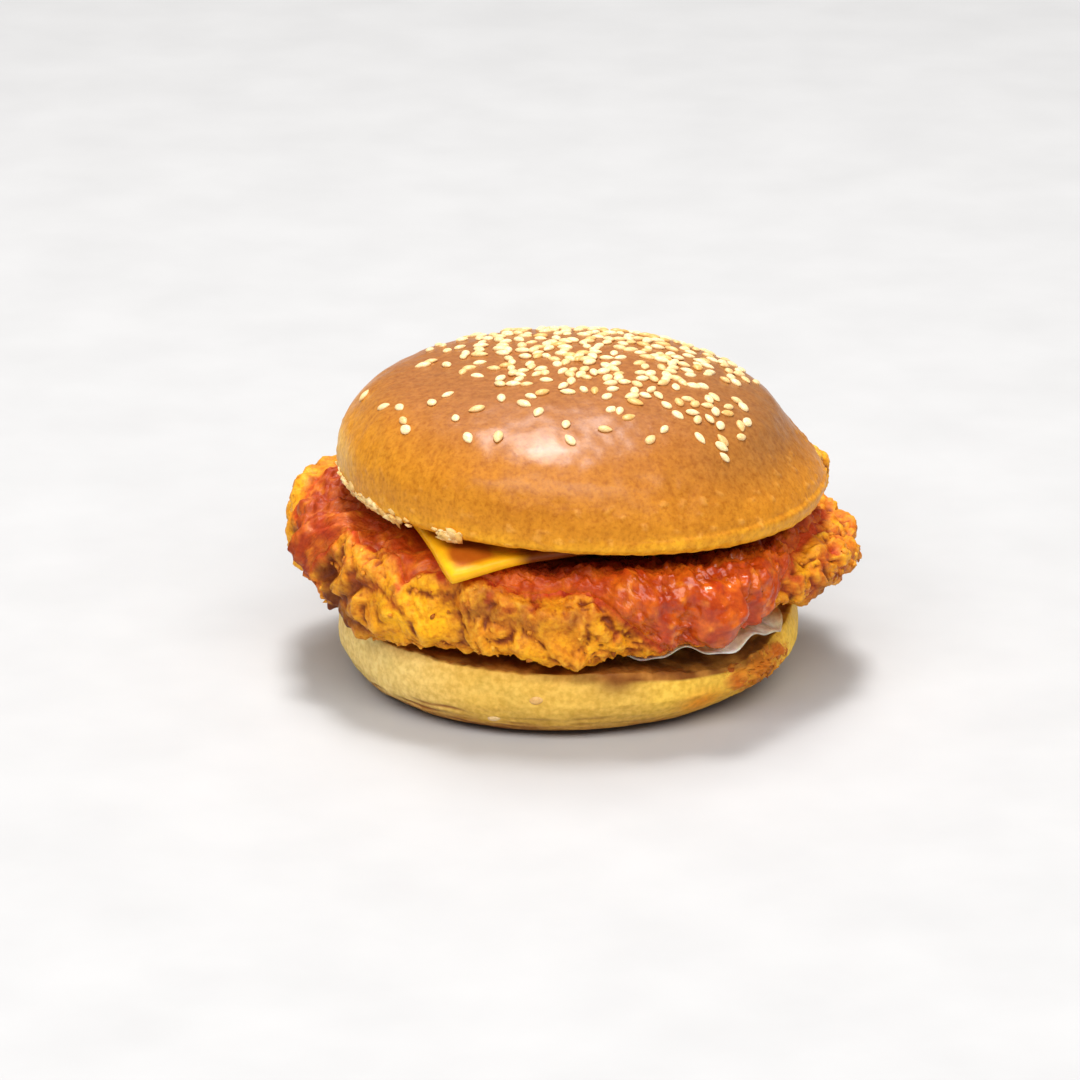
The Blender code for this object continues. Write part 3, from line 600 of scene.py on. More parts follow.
def fillet_smooth(degrees, along):
    """The fillet's form without its crust. along is 0 mid top, 1 at its edge and 2 mid underside."""
    angle = np.radians(degrees)
    oval = 1 / np.hypot(np.cos(angle) / FILLET_HALF_LENGTH, np.sin(angle) / FILLET_HALF_WIDTH)
    lobes, curl, lip = [
        sum(amount * facing(degrees, at, width) for at, width, amount in parts)
        for parts in (FILLET_LOBES, FILLET_CURLS, FILLET_LIPS)
    ]
    radius = (oval + lobes) * np.interp(along, SLAB[0], SLAB[1])
    x, y = radius * np.cos(angle), radius * np.sin(angle)
    rim = np.clip((radius - RIM_FROM) / RIM_OVER, 0, 1)
    top = FILLET_TOP - CROWN_SLOPE * x + curl * rim
    bottom = FILLET_BOTTOM + lift(x, y) + END_RISE * np.maximum(0, np.abs(x) - RIM_FROM) - lip * rim
    return xyz(x, y, (top + bottom) / 2 + np.interp(along, SLAB[0], SLAB[2]) * (top - bottom) / 2)


def fillet_normal(degrees, along):
    step = 0.01
    low, high = np.maximum(along - step, 0.001), np.minimum(along + step, 1.999)
    down = fillet_smooth(degrees, high) - fillet_smooth(degrees, low)
    middle = np.clip(along, 0.02, 1.98)
    round_ = fillet_smooth(degrees + 1, middle) - fillet_smooth(degrees - 1, middle)
    normal = np.cross(down, round_)
    return normal / np.linalg.norm(normal, axis=1)[:, None]


def fillet_spot(degrees, along):
    """One place on the fillet, in millimetres."""
    return fillet_smooth(np.array([degrees]), np.array([along]))[0] / MM


def sauce_reach(degrees):
    """How far the sauce runs at each angle, with a fringe of small fingers."""
    known = np.array(SAUCE_REACH)
    reach = np.interp(degrees % 360, known[:, 0], known[:, 1])
    angle = np.radians(degrees)
    ring = xyz(np.cos(angle), np.sin(angle), 0) * 57 * MM
    fringe = 0.016 * noise_at(ring, 6 * MM, (3, 1, 4)) + 0.014 * noise_at(ring, 2.6 * MM, (1, 5, 9))
    return reach + fringe * (1 - 0.7 * facing(degrees, 304, 15))


def drifted(points, by, size, first, climb, last):
    """Points moved about by noise, so that lumps don't lie in rows."""
    drift = [noise_at(points, size, (k, climb * k, last)) for k in range(first, first + 3)]
    return points + by * np.stack(drift, axis=-1)


def crust(degrees, along, reach):
    """Points of the craggy crust with its normals, and how far each stands out in millimetres."""
    smooth, normal = fillet_smooth(degrees, along), fillet_normal(degrees, along)
    lumps = CRUST_LUMPS[0] * noise_at(smooth, CRUST_LUMPS[1], (0.7, 2.3, 5.1))
    knobs = CRUST_KNOBS[0] * noise_at(smooth, CRUST_KNOBS[1], (4.2, 0.4, 1.9))
    folds = CRUST_FOLDS[0] * (0.5 - 2 * np.abs(noise_at(smooth, CRUST_FOLDS[1], (8.8, 3.3, 0.2))))
    shown = CRUST_COVERED_SHARE + (1 - CRUST_COVERED_SHARE) * bump(along, 1.0, CRUST_EDGE_WIDTH)
    broad = (lumps + knobs + folds) * shown

    place = drifted(smooth, 2.6 * MM, 7 * MM, 11, 3, 5)
    even = np.zeros(len(smooth))
    for at, share, wide, _ in CRUST_PILLOWS:
        even = np.maximum(even, near(smooth, fillet_spot(at, share), wide))
    crags = billows(place, 8.5 * MM, (1, 0, 0))
    ridges = 0.55 - 2 * np.abs(noise_at(place, 5.5 * MM, (0, 6, 2)))
    grains = billows(place, 2.6 * MM, (3, 0, 0))
    grains *= 0.4 + 0.6 * ease(noise_at(place, 9 * MM, (7, 7, 2)), -0.2, 0.3)
    fine = 2.7 * crags * (1 - 0.55 * even) + (0.7 * ridges + 0.85 * grains) * (1 - 0.85 * even)
    fine += 0.8 * even - 0.4 - 1.4 * facing(degrees, 25, 12)
    fine += 1.8 * facing(degrees, 208, 10) * bump(along, 1.07, 0.14)
    for at, share, wide, depth in CRUST_PITS:
        fine -= depth * near(smooth, fillet_spot(at, share), wide)
    dam = 1.5 * bump(along - reach, 0.03, 0.028) * facing(degrees, 222, 22)
    under_sauce = 1 - 0.6 * ease(1 - along / reach, 0.0, 0.10)
    fine = (fine * under_sauce + dam) * bump(along, 1.0, 0.48)
    return smooth, normal, broad, fine


def lay(degrees, along, reach, extra=0.0):
    """Points of the crust, or ones some millimetres out from it, kept under the crown and cheese."""
    smooth, normal, broad, fine = crust(degrees, along, reach)
    points = smooth + normal * broad[:, None]
    points[:, 2] = np.minimum(points[:, 2], ceiling(*points[:, :2].T) - SAUCE_THICK - GAP)
    points += normal * ((fine + extra) * MM)[:, None]
    roof = ceiling(*points[:, :2].T) - GAP + (np.minimum(extra, 0.6) - 0.6) * MM
    over = np.maximum(points[:, 2] - roof + 1.2 * MM, 0)
    points[:, 2] -= over - 1.2 * MM * np.tanh(over / (1.2 * MM))
    points[:, 2] = np.maximum(points[:, 2], floor_below(*points[:, :2].T) - 0.3 * MM)
    return points, normal, fine


def hollows(relief, reach):
    """How far each point of a grid of relief lies below the mean of the points around it."""
    steps = range(-reach, reach + 1)
    around = sum(np.roll(relief, (down, across), axis=(0, 1)) for down in steps for across in steps)
    return (around / len(steps) ** 2 - relief).ravel()


def make_fillet():
    top, edge, underside = FILLET_ROWS
    along = np.concatenate([
        np.linspace(0.03, 0.60, top, endpoint=False),
        np.linspace(0.60, 1.42, edge, endpoint=False),
        np.linspace(1.42, 1.98, underside),
    ])
    degrees = np.linspace(0, 360, FILLET_COLUMNS, endpoint=False)
    d, t = np.tile(degrees, len(along)), np.repeat(along, FILLET_COLUMNS)
    reach = np.tile(sauce_reach(degrees), len(along))
    points, _, fine = lay(d, t, reach)
    first, last = points[:FILLET_COLUMNS].mean(axis=0), points[-FILLET_COLUMNS:].mean(axis=0)
    fillet = closed_skin("fillet_crust", first, points, last, FILLET_COLUMNS)

    sunk_for_painted_light = hollows(fine.reshape(-1, FILLET_COLUMNS), 3)
    wide_sunk_for_painted_shade = hollows(fine.reshape(-1, FILLET_COLUMNS), 7)
    broad_patch = noise_at(points, 11 * MM, (2, 7, 1))
    patch = noise_at(points, 4.2 * MM, (6, 2, 8))
    colour = between((222, 130, 30), (242, 158, 26), ease(broad_patch + 0.5 * patch, -0.35, 0.35))
    colour = tinted(
        colour,
        ((255, 176, 28), 0.8 * ease(patch, 0.05, 0.45)),
        ((190, 102, 30), 0.6 * ease(noise_at(points, 3.1 * MM, (1, 1, 6)), 0.15, 0.5)),
    )
    for at, share, wide, bright in CRUST_PILLOWS:
        colour = tinted(colour, ((255, 184, 22), bright * near(points, fillet_spot(at, share), wide * 1.1)))
    # Painted light on the crust: a painted highlight on its raised crags and painted shade in its creases and
    # hollows.
    colour = tinted(
        colour,
        ((255, 188, 54), 0.55 * ease(-sunk_for_painted_light, 0.08, 0.4)),
        ((160, 70, 14), 0.85 * ease(wide_sunk_for_painted_shade, 0.12, 0.8)),
        ((108, 42, 10), 0.85 * ease(sunk_for_painted_light, 0.15, 0.6)),
    )
    # Brown spots, partly browned crust and partly painted shade in the pits.
    for at, share, wide in CRUST_BROWNED_AND_PIT_SHADE:
        browned_and_shaded = near(points, fillet_spot(at, share), wide) * ease(patch, -0.5, 0.2)
        colour = tinted(colour, ((146, 76, 36), 0.8 * browned_and_shaded))
    darker = facing(d, 204, 10) * ease(t, 0.86, 0.98) + 0.6 * facing(d, 200, 25) * ease(t, 1.05, 1.2)
    past = t - reach
    soaked = 0.9 * (1 - ease(past, 0.0, 0.05))
    blots = 0.5 * ease(noise_at(points, 3.4 * MM, (9, 9, 1)), 0.12, 0.4) * (1 - ease(past, 0.05, 0.22))
    blots *= 1 - 0.8 * facing(d, 166, 16)
    right_end = 0.55 * facing(d, 345, 24) * ease(noise_at(points, 5 * MM, (4, 4, 4)), -0.1, 0.35)
    colour = tinted(
        colour,
        ((116, 54, 16), np.clip(0.95 * darker * ease(patch, -0.5, 0.05), 0, 1)),
        ((200, 104, 34), 0.4 * facing(d, 216, 9) * bump(t, 0.89, 0.08)),
        ((240, 166, 44), 0.5 * facing(d, 164, 14) * (1 - ease(t, 1.0, 1.15))),
        ((255, 210, 84), 0.8 * facing(d, 25, 9) * ease(points[:, 2], 39 * MM, 44 * MM)),
        ((196, 70, 26), np.clip(soaked + blots + right_end * (1 - ease(t, 1.0, 1.2)), 0, 1)),
        ((176, 100, 34), 0.5 * ease(t, 1.12, 1.3)),
    )
    paint(fillet, np.vstack([[rgb(196, 70, 26)], colour, [rgb(176, 100, 34)]]))
    return fillet


fried = new_finish(
    "fried_crust",
    (
        (1.1, 4, (1, 1, 1), (0.34, (0.78, 0.66, 0.54)), (0.52, (0.97, 0.95, 0.9)), (0.7, (1.06, 1.08, 1.0))),
        (2.6, 5, (1, 1, 1), (0.30, (0.70, 0.52, 0.42)), (0.42, (1, 1, 1)), (0.75, (1.05, 1.1, 1))),
    ),
    relief=((0.9, 4, 0.28), (0.3, 2, 0.08)),
    patchy=(1.6, 0.36, 0.62),
    Specular_IOR_Level=0.18,
    Subsurface_Weight=0.06,
    Subsurface_Scale=0.0015,
    Subsurface_Radius=(1.0, 0.45, 0.12),
)
dress(make_fillet(), fried, "fillet", "fillet")

# Sauce
# A thick red-orange hot sauce spooned over the fillet. It is a glossy coat that shows the lumps of the crust,
# lies in a smooth pool behind the crust's lip, and runs over the edge in heavy lobes at the right.

SAUCE_LOBES = (
    (317, 1.03, 4.6, 2.5),
    (312, 0.86, 4.0, 2.4),
    (297, 0.88, 3.8, 2.5),
    (292, 1.00, 3.4, 2.2),
    (288, 0.91, 2.9, 2.0),
    (290, 0.82, 3.0, 2.0),
    (302, 0.82, 3.2, 2.1),
    (284, 0.84, 2.8, 1.8),
    (279, 0.84, 2.6, 1.5),
    (320, 0.89, 3.2, 2.1),
    (322, 0.97, 2.6, 1.6),
)
SAUCE_DROP = (304, 1.00, 6.6, 4.3)
SAUCE_EDGE_SHARPNESS = 26
SAUCE_ROWS = (14, 96)


def from_spot(points, degrees, along, wide):
    """How far points lie from a place on the fillet, in shares of a width in millimetres."""
    return np.linalg.norm(points - fillet_spot(degrees, along) * MM, axis=1) / (wide * MM)


def sauce_depth(degrees, share, along, smooth):
    """How thick the sauce lies, in millimetres, with a rounded edge that dips into the crust."""
    edge = np.sqrt(np.clip(1 - share**SAUCE_EDGE_SHARPNESS, 0, 1))
    heavy = facing(degrees, 304, 20)
    pool = facing(degrees, 222, 15) * ease(share, 0.55, 0.72)
    swell = 2.2 * facing(degrees, 290, 36) * bump(along, 0.85, 0.12)
    place = drifted(smooth, 1.2 * MM, 5 * MM, 21, 1, 2)
    lumps = 1.7 * billows(place, 5.0 * MM, (5, 0, 0))
    lumps += 1.1 * billows(place, 2.4 * MM, (5, 5, 0)) * (0.5 + heavy)
    beads = (0.4 + 0.5 * heavy) * ease(noise_at(place, 2.0 * MM, (7, 7, 0)), 0.05, 0.5)
    bumps = (lumps + beads) * (1 - 0.95 * pool) * ease(along, 0.55, 0.72)
    depth = 1.1 + 0.4 * heavy + swell + bumps
    for at, where, wide, more in SAUCE_LOBES:
        dome = more * np.sqrt(np.clip(1 - from_spot(place, at, where, wide) ** 2, 0, 1))
        depth = np.maximum(depth, 0.9 + 0.5 * swell + 0.35 * bumps + dome)
    at, where, wide, more = SAUCE_DROP
    away = from_spot(place, at, where, wide)
    over = 1 - ease(away, 0.86, 1.06)
    drop = 1.2 + 0.10 * bumps + more * np.sqrt(np.clip(1 - 0.9 * away**2, 0, 1))
    depth = depth * (1 - over) + over * drop
    return np.maximum(depth, 0.35) * edge - 0.25 * (1 - edge)


def make_sauce():
    degrees = np.linspace(0, 360, FILLET_COLUMNS, endpoint=False)
    shares = np.concatenate([
        np.linspace(0.04, 0.62, SAUCE_ROWS[0], endpoint=False),
        1 - 0.38 * np.linspace(1, 0, SAUCE_ROWS[1]) ** 1.35,
    ])
    d, share = np.tile(degrees, len(shares)), np.repeat(shares, FILLET_COLUMNS)
    reach = np.tile(sauce_reach(degrees), len(shares))
    along = share * reach
    depth = sauce_depth(d, share, along, fillet_smooth(d, along))
    upper, _, fine = lay(d, along, reach, depth)
    lower, _, _ = lay(d, along, reach, -0.3)
    sauce = two_faced("sauce_coat", upper, lower, FILLET_COLUMNS)
    patch = noise_at(upper, 3.6 * MM, (4, 8, 1))
    beads = noise_at(upper, 2.3 * MM, (2, 0, 2)) + 0.3 * fine
    colour = tinted(
        between((188, 68, 15), (210, 96, 22), ease(patch, -0.3, 0.3)),
        ((240, 140, 34), 0.6 * ease(beads, 0.25, 0.7)),
        ((172, 46, 14), 0.5 * ease(noise_at(upper, 4.4 * MM, (0, 3, 7)), 0.1, 0.5)),
        # Painted shade: the sauce goes dark maroon well inside the crown's rim, where the crown shades it.
        ((150, 46, 14), 0.8 * ease(inside_crown(*upper[:, :2].T), 6 * MM, 11 * MM)),
    )
    # Painted shade: the sauce at the left is made darker, since it faces up into the lamps.
    colour *= (1 - 0.28 * facing(d, 186, 22))[:, None]
    colour = tinted(colour, ((214, 118, 34), 0.6 * (1 - ease(depth, -0.1, 0.7))))
    wet = np.clip(0.08 + 0.92 * facing(d, 302, 26) + 0.15 * facing(d, 220, 14), 0, 1)
    faces = np.vstack([colour[:1], colour, colour[:1], colour])
    paint(sauce, faces, np.concatenate([wet[:1], wet, wet[:1], wet]))
    return sauce


hot_sauce = new_finish(
    "red_hot_sauce",
    ((1.4, 4, (1, 1, 1), (0.35, (0.82, 0.70, 0.66)), (0.65, (1.12, 1.2, 1.1))),),
    relief=((1.3, 3, 0.2), (0.5, 2, 0.05)),
    by_wetness=(("Roughness", 0.55, 0.15), ("Coat Weight", 0, 0.3)),
    Coat_Roughness=0.08,
    Specular_IOR_Level=0.25,
    Subsurface_Weight=0.08,
    Subsurface_Scale=0.002,
    Subsurface_Radius=(1.0, 0.28, 0.08),
)
dress(make_sauce(), hot_sauce, "sauce", "sauce")

# Crust crumbs
# Bits of fried crust that broke off the fillet and cling to its sides and lips. Those near the sauce are
# redder than the rest.

CRUST_CRUMBS_DRAWN = 700


def lump_piece(name, lumps, draw):
    """One mesh of many small rough lumps, from (middle, way out, size, flatness, colour)."""
    work = bmesh.new()
    bmesh.ops.create_icosphere(work, subdivisions=1, radius=0.5)
    ball = np.array([v.co[:] for v in work.verts])
    faces = np.array([[v.index for v in f.verts] for f in work.faces])
    work.free()
    vertices, all_faces = [], []
    for k, (middle, out, size, flat, _) in enumerate(lumps):
        rough = 1 + 0.8 * noise_at(ball, 0.45, (k * 1.37, k * 0.71, 0))
        shape = ball * rough[:, None] * (draw.uniform(0.75, 1.35), draw.uniform(0.75, 1.2), flat)
        spin = Matrix.Rotation(draw.uniform(0, 6.28), 3, "Z")
        turn = Vector(out).to_track_quat("Z", "Y").to_matrix() @ spin
        vertices.append(shape @ np.array(turn).T * size + middle)
        all_faces.append(faces + k * len(ball))
    piece = smooth_mesh(name, np.vstack(vertices), np.vstack(all_faces).tolist())
    paint(piece, np.repeat([lump[-1] for lump in lumps], len(ball), axis=0))
    return piece


def make_crust_crumbs():
    draw = random.Random(11)
    d = np.array([draw.uniform(0, 360) for _ in range(CRUST_CRUMBS_DRAWN)])
    t = np.array([draw.triangular(0.70, 1.34, 1.02) for _ in d])
    reach = sauce_reach(d)
    points, normal, _ = lay(d, t, reach)
    ragged = facing(d, 214, 20) * bump(t - reach, 0.05, 0.08) + bump(t, 1.17, 0.09) + 0.3 * facing(d, 348, 24)
    keep = (t > reach + 0.005) & (t > 0.78) & (np.array([draw.random() for _ in d]) < ragged)
    golden, pale, brown, red = (226, 142, 38), (248, 180, 60), (160, 86, 30), (200, 80, 26)
    lumps = []
    for k in np.flatnonzero(keep):
        size = draw.uniform(0.8, 2.2) * MM
        lean = Vector(normal[k]) + Vector([draw.uniform(-0.7, 0.7) for _ in range(3)])
        flat = draw.uniform(0.3, 0.6)
        shade = draw.random()
        colour = between(golden, pale if draw.random() < 0.65 else brown, shade)
        sauced = math.exp(-max(0.0, t[k] - reach[k]) / 0.05) * draw.random()
        lumps.append((points[k], lean, size, flat, tinted(colour, (red, sauced))))
    return lump_piece("crust_crumbs", lumps, draw)


dress(make_crust_crumbs(), fried, "fillet")

# Heel crumbs
# Saucy bits of crust that fell and lie against the heel's side at the right of the front, over the spilt
# sauce and under the pressed-down rim.

HEEL_CRUMBS = 90


def make_heel_crumbs():
    draw = random.Random(5)
    outline = (HEEL_FOOT_RADIUS + 2 * MM, HEEL_RADIUS, HEEL_RADIUS - HEEL_RIM_INSET)
    lumps = []
    for _ in range(HEEL_CRUMBS):
        angle = math.radians(draw.gauss(-35, 6))
        z = draw.triangular(7.5, 16.5, 12.5) * MM
        radius = np.interp(z, (0, HEEL_WIDEST_AT, HEEL_HEIGHT), outline)
        place = heel_points(np.array([angle]), np.array([radius]), np.array([z]))[0]
        place[2] -= heel_sag(math.degrees(angle), z) + 0.2 * MM
        out = (math.cos(angle), math.sin(angle), (z - HEEL_WIDEST_AT) / (14 * MM))
        size, flat, share = draw.uniform(1.0, 2.8) * MM, draw.uniform(0.35, 0.6), draw.random()
        lumps.append((place, out, size, flat, between((232, 150, 48), (180, 88, 30), share)))
    return lump_piece("heel_crumbs", lumps, draw)


dress(make_heel_crumbs(), fried, "fillet")

# Cheese
# A square of processed cheese, cut thick and soft with the heat, laid on the sauce under the crown. One
# corner comes out at the left of the front, its top smeared with sauce and darkened with painted shade from
# the crown. Further right the slice is dark red-brown, partly a sauce coat and partly painted shade.

CHEESE_CORNER_PULL = 0.025
CHEESE_STEPS = 110


def make_cheese():
    line = np.linspace(0, 1, CHEESE_STEPS + 1)
    u, v = [a.ravel() for a in np.meshgrid(line, line)]
    a, b = 2 * u - 1, 2 * v - 1
    pull = 1 - CHEESE_CORNER_PULL * (np.abs(a) * np.abs(b)) ** 12
    along, across = (a * pull + 1) / 2 * CHEESE_SIDE, (b * pull + 1) / 2 * CHEESE_SIDE
    cos, sin = math.cos(CHEESE_TURN), math.sin(CHEESE_TURN)
    x = CHEESE_TIP[0] + along * cos - across * sin
    y = CHEESE_TIP[1] + along * sin + across * cos
    border = np.minimum(np.minimum(u, 1 - u), np.minimum(v, 1 - v)) * CHEESE_SIDE
    soft = 0.35 * MM * (1 - ease(border, 0, 0.9 * MM))
    wave = 0.25 * MM * noise_at(xyz(x, y, 0), 9 * MM, (3, 3, 3)) * ease(-y, 20 * MM, 46 * MM)
    sag = 0.5 * MM * bump(u * CHEESE_SIDE, 17 * MM, 11 * MM) * (1 - ease(v * CHEESE_SIDE, 1 * MM, 13 * MM))
    top = cheese_top(x, y) + wave - sag
    upper, lower = xyz(x, y, top - soft), xyz(x, y, top - CHEESE_THICK + soft)
    row, count = CHEESE_STEPS + 1, (CHEESE_STEPS + 1) ** 2
    start = (np.arange(CHEESE_STEPS)[:, None] * row + np.arange(CHEESE_STEPS)).ravel()
    quads = np.stack([start, start + 1, start + row + 1, start + row], axis=-1)
    ring = list(range(CHEESE_STEPS)) + [CHEESE_STEPS + row * j for j in range(CHEESE_STEPS)]
    ring += [row * CHEESE_STEPS + CHEESE_STEPS - i for i in range(CHEESE_STEPS)]
    ring += [row * (CHEESE_STEPS - j) for j in range(CHEESE_STEPS)]
    sides = [(p, p + count, q + count, q) for p, q in zip(ring, ring[1:] + ring[:1])]
    faces = quads.tolist() + (quads[:, ::-1] + count).tolist() + sides
    cheese = smooth_mesh("cheese_slice", np.vstack([upper, lower]), faces)
    # Painted shade: the smear is sauce darkened as if in the crown's shade; the right part is sauce coat and
    # shade.
    smear_and_shade = ease(noise_at(upper, 8 * MM, (2, 2, 0)) + 0.5, 0.0, 0.6) * ease(border, 0.4 * MM, 2.6 * MM)
    sauce_coat_and_shade = ease(u * CHEESE_SIDE, 14.5 * MM, 19 * MM)
    colour = tinted(between((255, 184, 18), (172, 74, 16), 0.92 * smear_and_shade), ((128, 44, 12), 0.9 * sauce_coat_and_shade))
    paint(cheese, np.vstack([colour, between((255, 186, 20), (110, 34, 10), 0.95 * sauce_coat_and_shade)]))
    return cheese


soft_cheese = new_finish(
    "soft_yellow_cheese",
    ((2.5, 3, (1, 1, 1), (0.35, (0.95, 0.90, 0.85)), (0.65, (1.03, 1.05, 1.0))),),
    relief=((2.0, 2, 0.06),),
    Roughness=0.4,
    Specular_IOR_Level=0.25,
    Subsurface_Weight=0.15,
    Subsurface_Scale=0.002,
    Subsurface_Radius=(1.0, 0.6, 0.15),
)
dress(make_cheese(), soft_cheese, "cheese", "cheese")

# Crown
# The domed upper half of the brioche, washed with egg so that its skin bakes glossy golden brown, paler
# towards its rim. It is set on leaning to the right, and its lower edge is torn at the left.

CROWN_HEIGHT = 28.8 * MM
CROWN_LIP = 4.6 * MM
CROWN_LIP_INSET = 2.4 * MM
CROWN_ROUNDNESS = 2.25
CROWN_LEFT_FULLNESS = 0.3
CROWN_DENT = (4.4 * MM, math.radians(70), math.radians(17))
CROWN_SHOULDER = (3.3 * MM, math.radians(42), math.radians(18))
CROWN_TOP_SLOPE = -0.02
CROWN_UNEVEN = 0.012
CROWN_DIMPLES = (0.018, 26.0 * MM)
CROWN_COLUMNS = 560
CROWN_DOME_ROWS = 116
CROWN_LIP_ROWS = 26
CROWN_CUT_ROWS = (0.97, 0.9, 0.8, 0.65, 0.5, 0.35, 0.2, 0.06)


def crown_roundness(angle):
    return CROWN_ROUNDNESS - CROWN_LEFT_FULLNESS * np.cos(angle)


def crown_local(angle, turn):
    """Points of the crown over its cut face. turn runs from 0 at the top to 180 degrees at the lip."""
    wobble = noise_at(xyz(1.3 * np.cos(angle), 1.3 * np.sin(angle), 7.7 + turn), 1)
    power = 2 / crown_roundness(angle)
    depth, dent_at, dent_width = CROWN_DENT
    more, shoulder_at, shoulder_width = CROWN_SHOULDER
    dent = depth * np.maximum(0, np.cos(angle)) * bump(turn, dent_at, dent_width)
    shoulder = more * np.maximum(0, -np.cos(angle)) * bump(turn, shoulder_at, shoulder_width)
    up = turn <= math.pi / 2
    domed = crown_radius(angle) * np.abs(np.sin(turn)) ** power - dent + shoulder
    lipped = crown_radius(angle) - CROWN_LIP_INSET * (1 - np.sin(turn)) - dent
    radius = np.where(up, domed, lipped) * (1 + CROWN_UNEVEN * wobble)
    rise = CROWN_LIP + (CROWN_HEIGHT - CROWN_LIP) * np.maximum(np.cos(turn), 0) ** power
    height = np.where(up, rise, CROWN_LIP * (1 + np.cos(turn)))
    flat = xyz(radius * np.cos(angle), radius * np.sin(angle), 0)
    share, size = CROWN_DIMPLES
    flat[:, 2] = height * (1 + share * noise_at(flat, size))
    return flat


def crown_place(points):
    """Sets points over the cut face onto the burger: the crown leans right, and its top less so."""
    slope = CROWN_SLOPE + (CROWN_TOP_SLOPE - CROWN_SLOPE) * (points[:, 2] / CROWN_HEIGHT)
    return points + xyz(CROWN_X, 0, CROWN_Z - slope * points[:, 0])


def make_crown():
    angles = np.linspace(0, 2 * math.pi, CROWN_COLUMNS, endpoint=False)
    dome = np.radians(90) * np.linspace(0.02, 1, CROWN_DOME_ROWS) ** 0.85
    turns = np.concatenate([dome, np.radians(np.linspace(90, 180, CROWN_LIP_ROWS + 1))[1:]])
    a, t = np.tile(angles, len(turns)), np.repeat(turns, CROWN_COLUMNS)
    local = crown_local(a, t)
    cut = np.vstack([local[-CROWN_COLUMNS:] * (share, share, 0) for share in CROWN_CUT_ROWS])
    placed = crown_place(np.vstack([local, cut]))
    on_cut = np.zeros(len(cut))
    degrees = np.degrees(np.concatenate([a, np.tile(angles, len(CROWN_CUT_ROWS))]))
    lip_turn = np.concatenate([t, on_cut + math.pi])
    skin_rows = np.concatenate([t * 0 + 1, on_cut])
    on_skin = np.concatenate([1 - ease(t, math.radians(150), math.radians(180)), on_cut])
    out = placed - np.array((CROWN_X, 0, CROWN_Z - 20 * MM))
    out /= np.linalg.norm(out, axis=1)[:, None]
    dimple = 0.35 * noise_at(placed, 9 * MM, (4, 1, 1)) + 0.13 * noise_at(placed, 3.2 * MM, (0, 5, 1))
    blister = 0.22 * ease(noise_at(placed, 1.9 * MM, (8, 2, 2)), 0.35, 0.6)
    blister *= ease(-placed[:, 2], -62 * MM, -52 * MM)
    lower = ease(-placed[:, 2], -52 * MM, -44 * MM)
    left = facing(degrees, 202, 22)
    placed[:, 2] += 1.0 * MM * facing(degrees, 262, 48) * ease(lip_turn, 1.6, 2.9)
    tear = (0.9 * noise_at(placed, 2.6 * MM, (6, 6, 0)) + 0.5 * noise_at(placed, 1.2 * MM)) * lower
    placed += out * ((dimple + blister) * on_skin * MM)[:, None]
    placed[:, 2] += tear * (0.25 + 0.75 * left) * MM * ease(lip_turn, 1.7, 2.4)
    first, last = placed[:CROWN_COLUMNS].mean(axis=0), placed[-CROWN_COLUMNS:].mean(axis=0)
    crown = closed_skin("crown_bread", first, placed, last, CROWN_COLUMNS)

    x, z = placed[:, 0], placed[:, 2]
    up = (z - CROWN_Z + CROWN_SLOPE * (x - CROWN_X)) / CROWN_HEIGHT
    patch = noise_at(placed, 12 * MM, (2, 9, 4))
    speck = noise_at(placed, 2.2 * MM, (5, 5, 5))
    rim_pale = 1 - ease(up + 0.05 * speck + 0.03 * patch, 0.02, 0.20)
    cream = facing(degrees, 183, 24) * (1 - ease(up + 0.04 * patch, 0.28, 0.46))
    toasted = between((196, 138, 72), (150, 90, 40), ease(noise_at(placed, 6 * MM, (1, 0, 1)), -0.2, 0.4))
    colour = tinted(
        between((210, 136, 33), (184, 113, 27), ease(up + 0.10 * patch, 0.12, 0.55)),
        ((154, 94, 44), 0.8 * ease(up + 0.06 * patch, 0.50, 0.90)),
        ((218, 148, 34), 0.6 * facing(degrees, 190, 42) * (1 - ease(up, 0.45, 0.8))),
        ((255, 188, 40), 0.85 * rim_pale * (0.55 + 0.45 * facing(degrees, 300, 50))),
        ((146, 98, 50), 0.65 * ease(x, 15 * MM, 50 * MM) * ease(up, 0.2, 0.6)),
        ((250, 186, 96), blister * skin_rows),
        ((240, 190, 88), 0.7 * cream * ease(-x, 46 * MM, 50 * MM)),
        ((250, 212, 140), 0.9 * left * (1 - ease(up, -0.01, 0.045)) * ease(speck, -0.35, 0.1)),
    )
    colour = mixed(colour, toasted, 1 - on_skin)
    glazed = 0.46 * ease(up, 0.43, 0.60) + 0.04 * ease(up, 0.06, 0.3)
    with_poles = np.vstack([colour[:1], colour, colour[-1:]])
    paint(crown, with_poles, np.concatenate([glazed[:1], glazed, glazed[-1:]]))
    return crown


egg_washed = new_finish(
    "glazed_brioche_skin",
    (
        (0.9, 4, (1, 1, 1), (0.33, (0.84, 0.76, 0.62)), (0.5, (1, 1, 1)), (0.68, (1.08, 1.10, 1.12))),
        (2.6, 4, (1.5, 1.5, 0.55), (0.32, (0.88, 0.82, 0.74)), (0.62, (1.05, 1.06, 1.06))),
    ),
    relief=((1.0, 4, 0.09), (0.4, 2, 0.03)),
    patchy=(3.0, 0.36, 0.52),
    by_wetness=(("Coat Weight", 0, 1),),
    Coat_Roughness=0.26,
    Specular_IOR_Level=0.15,
    Subsurface_Weight=0.05,
    Subsurface_Scale=0.002,
    Subsurface_Radius=(1.0, 0.5, 0.2),
)
dress(make_crown(), egg_washed, "crown", "crown")

# Torn crumb
# Flakes of the bun's pale crumb, left along the left of the crown's lower edge where the bun was torn open.

TORN_FLAKES = 260


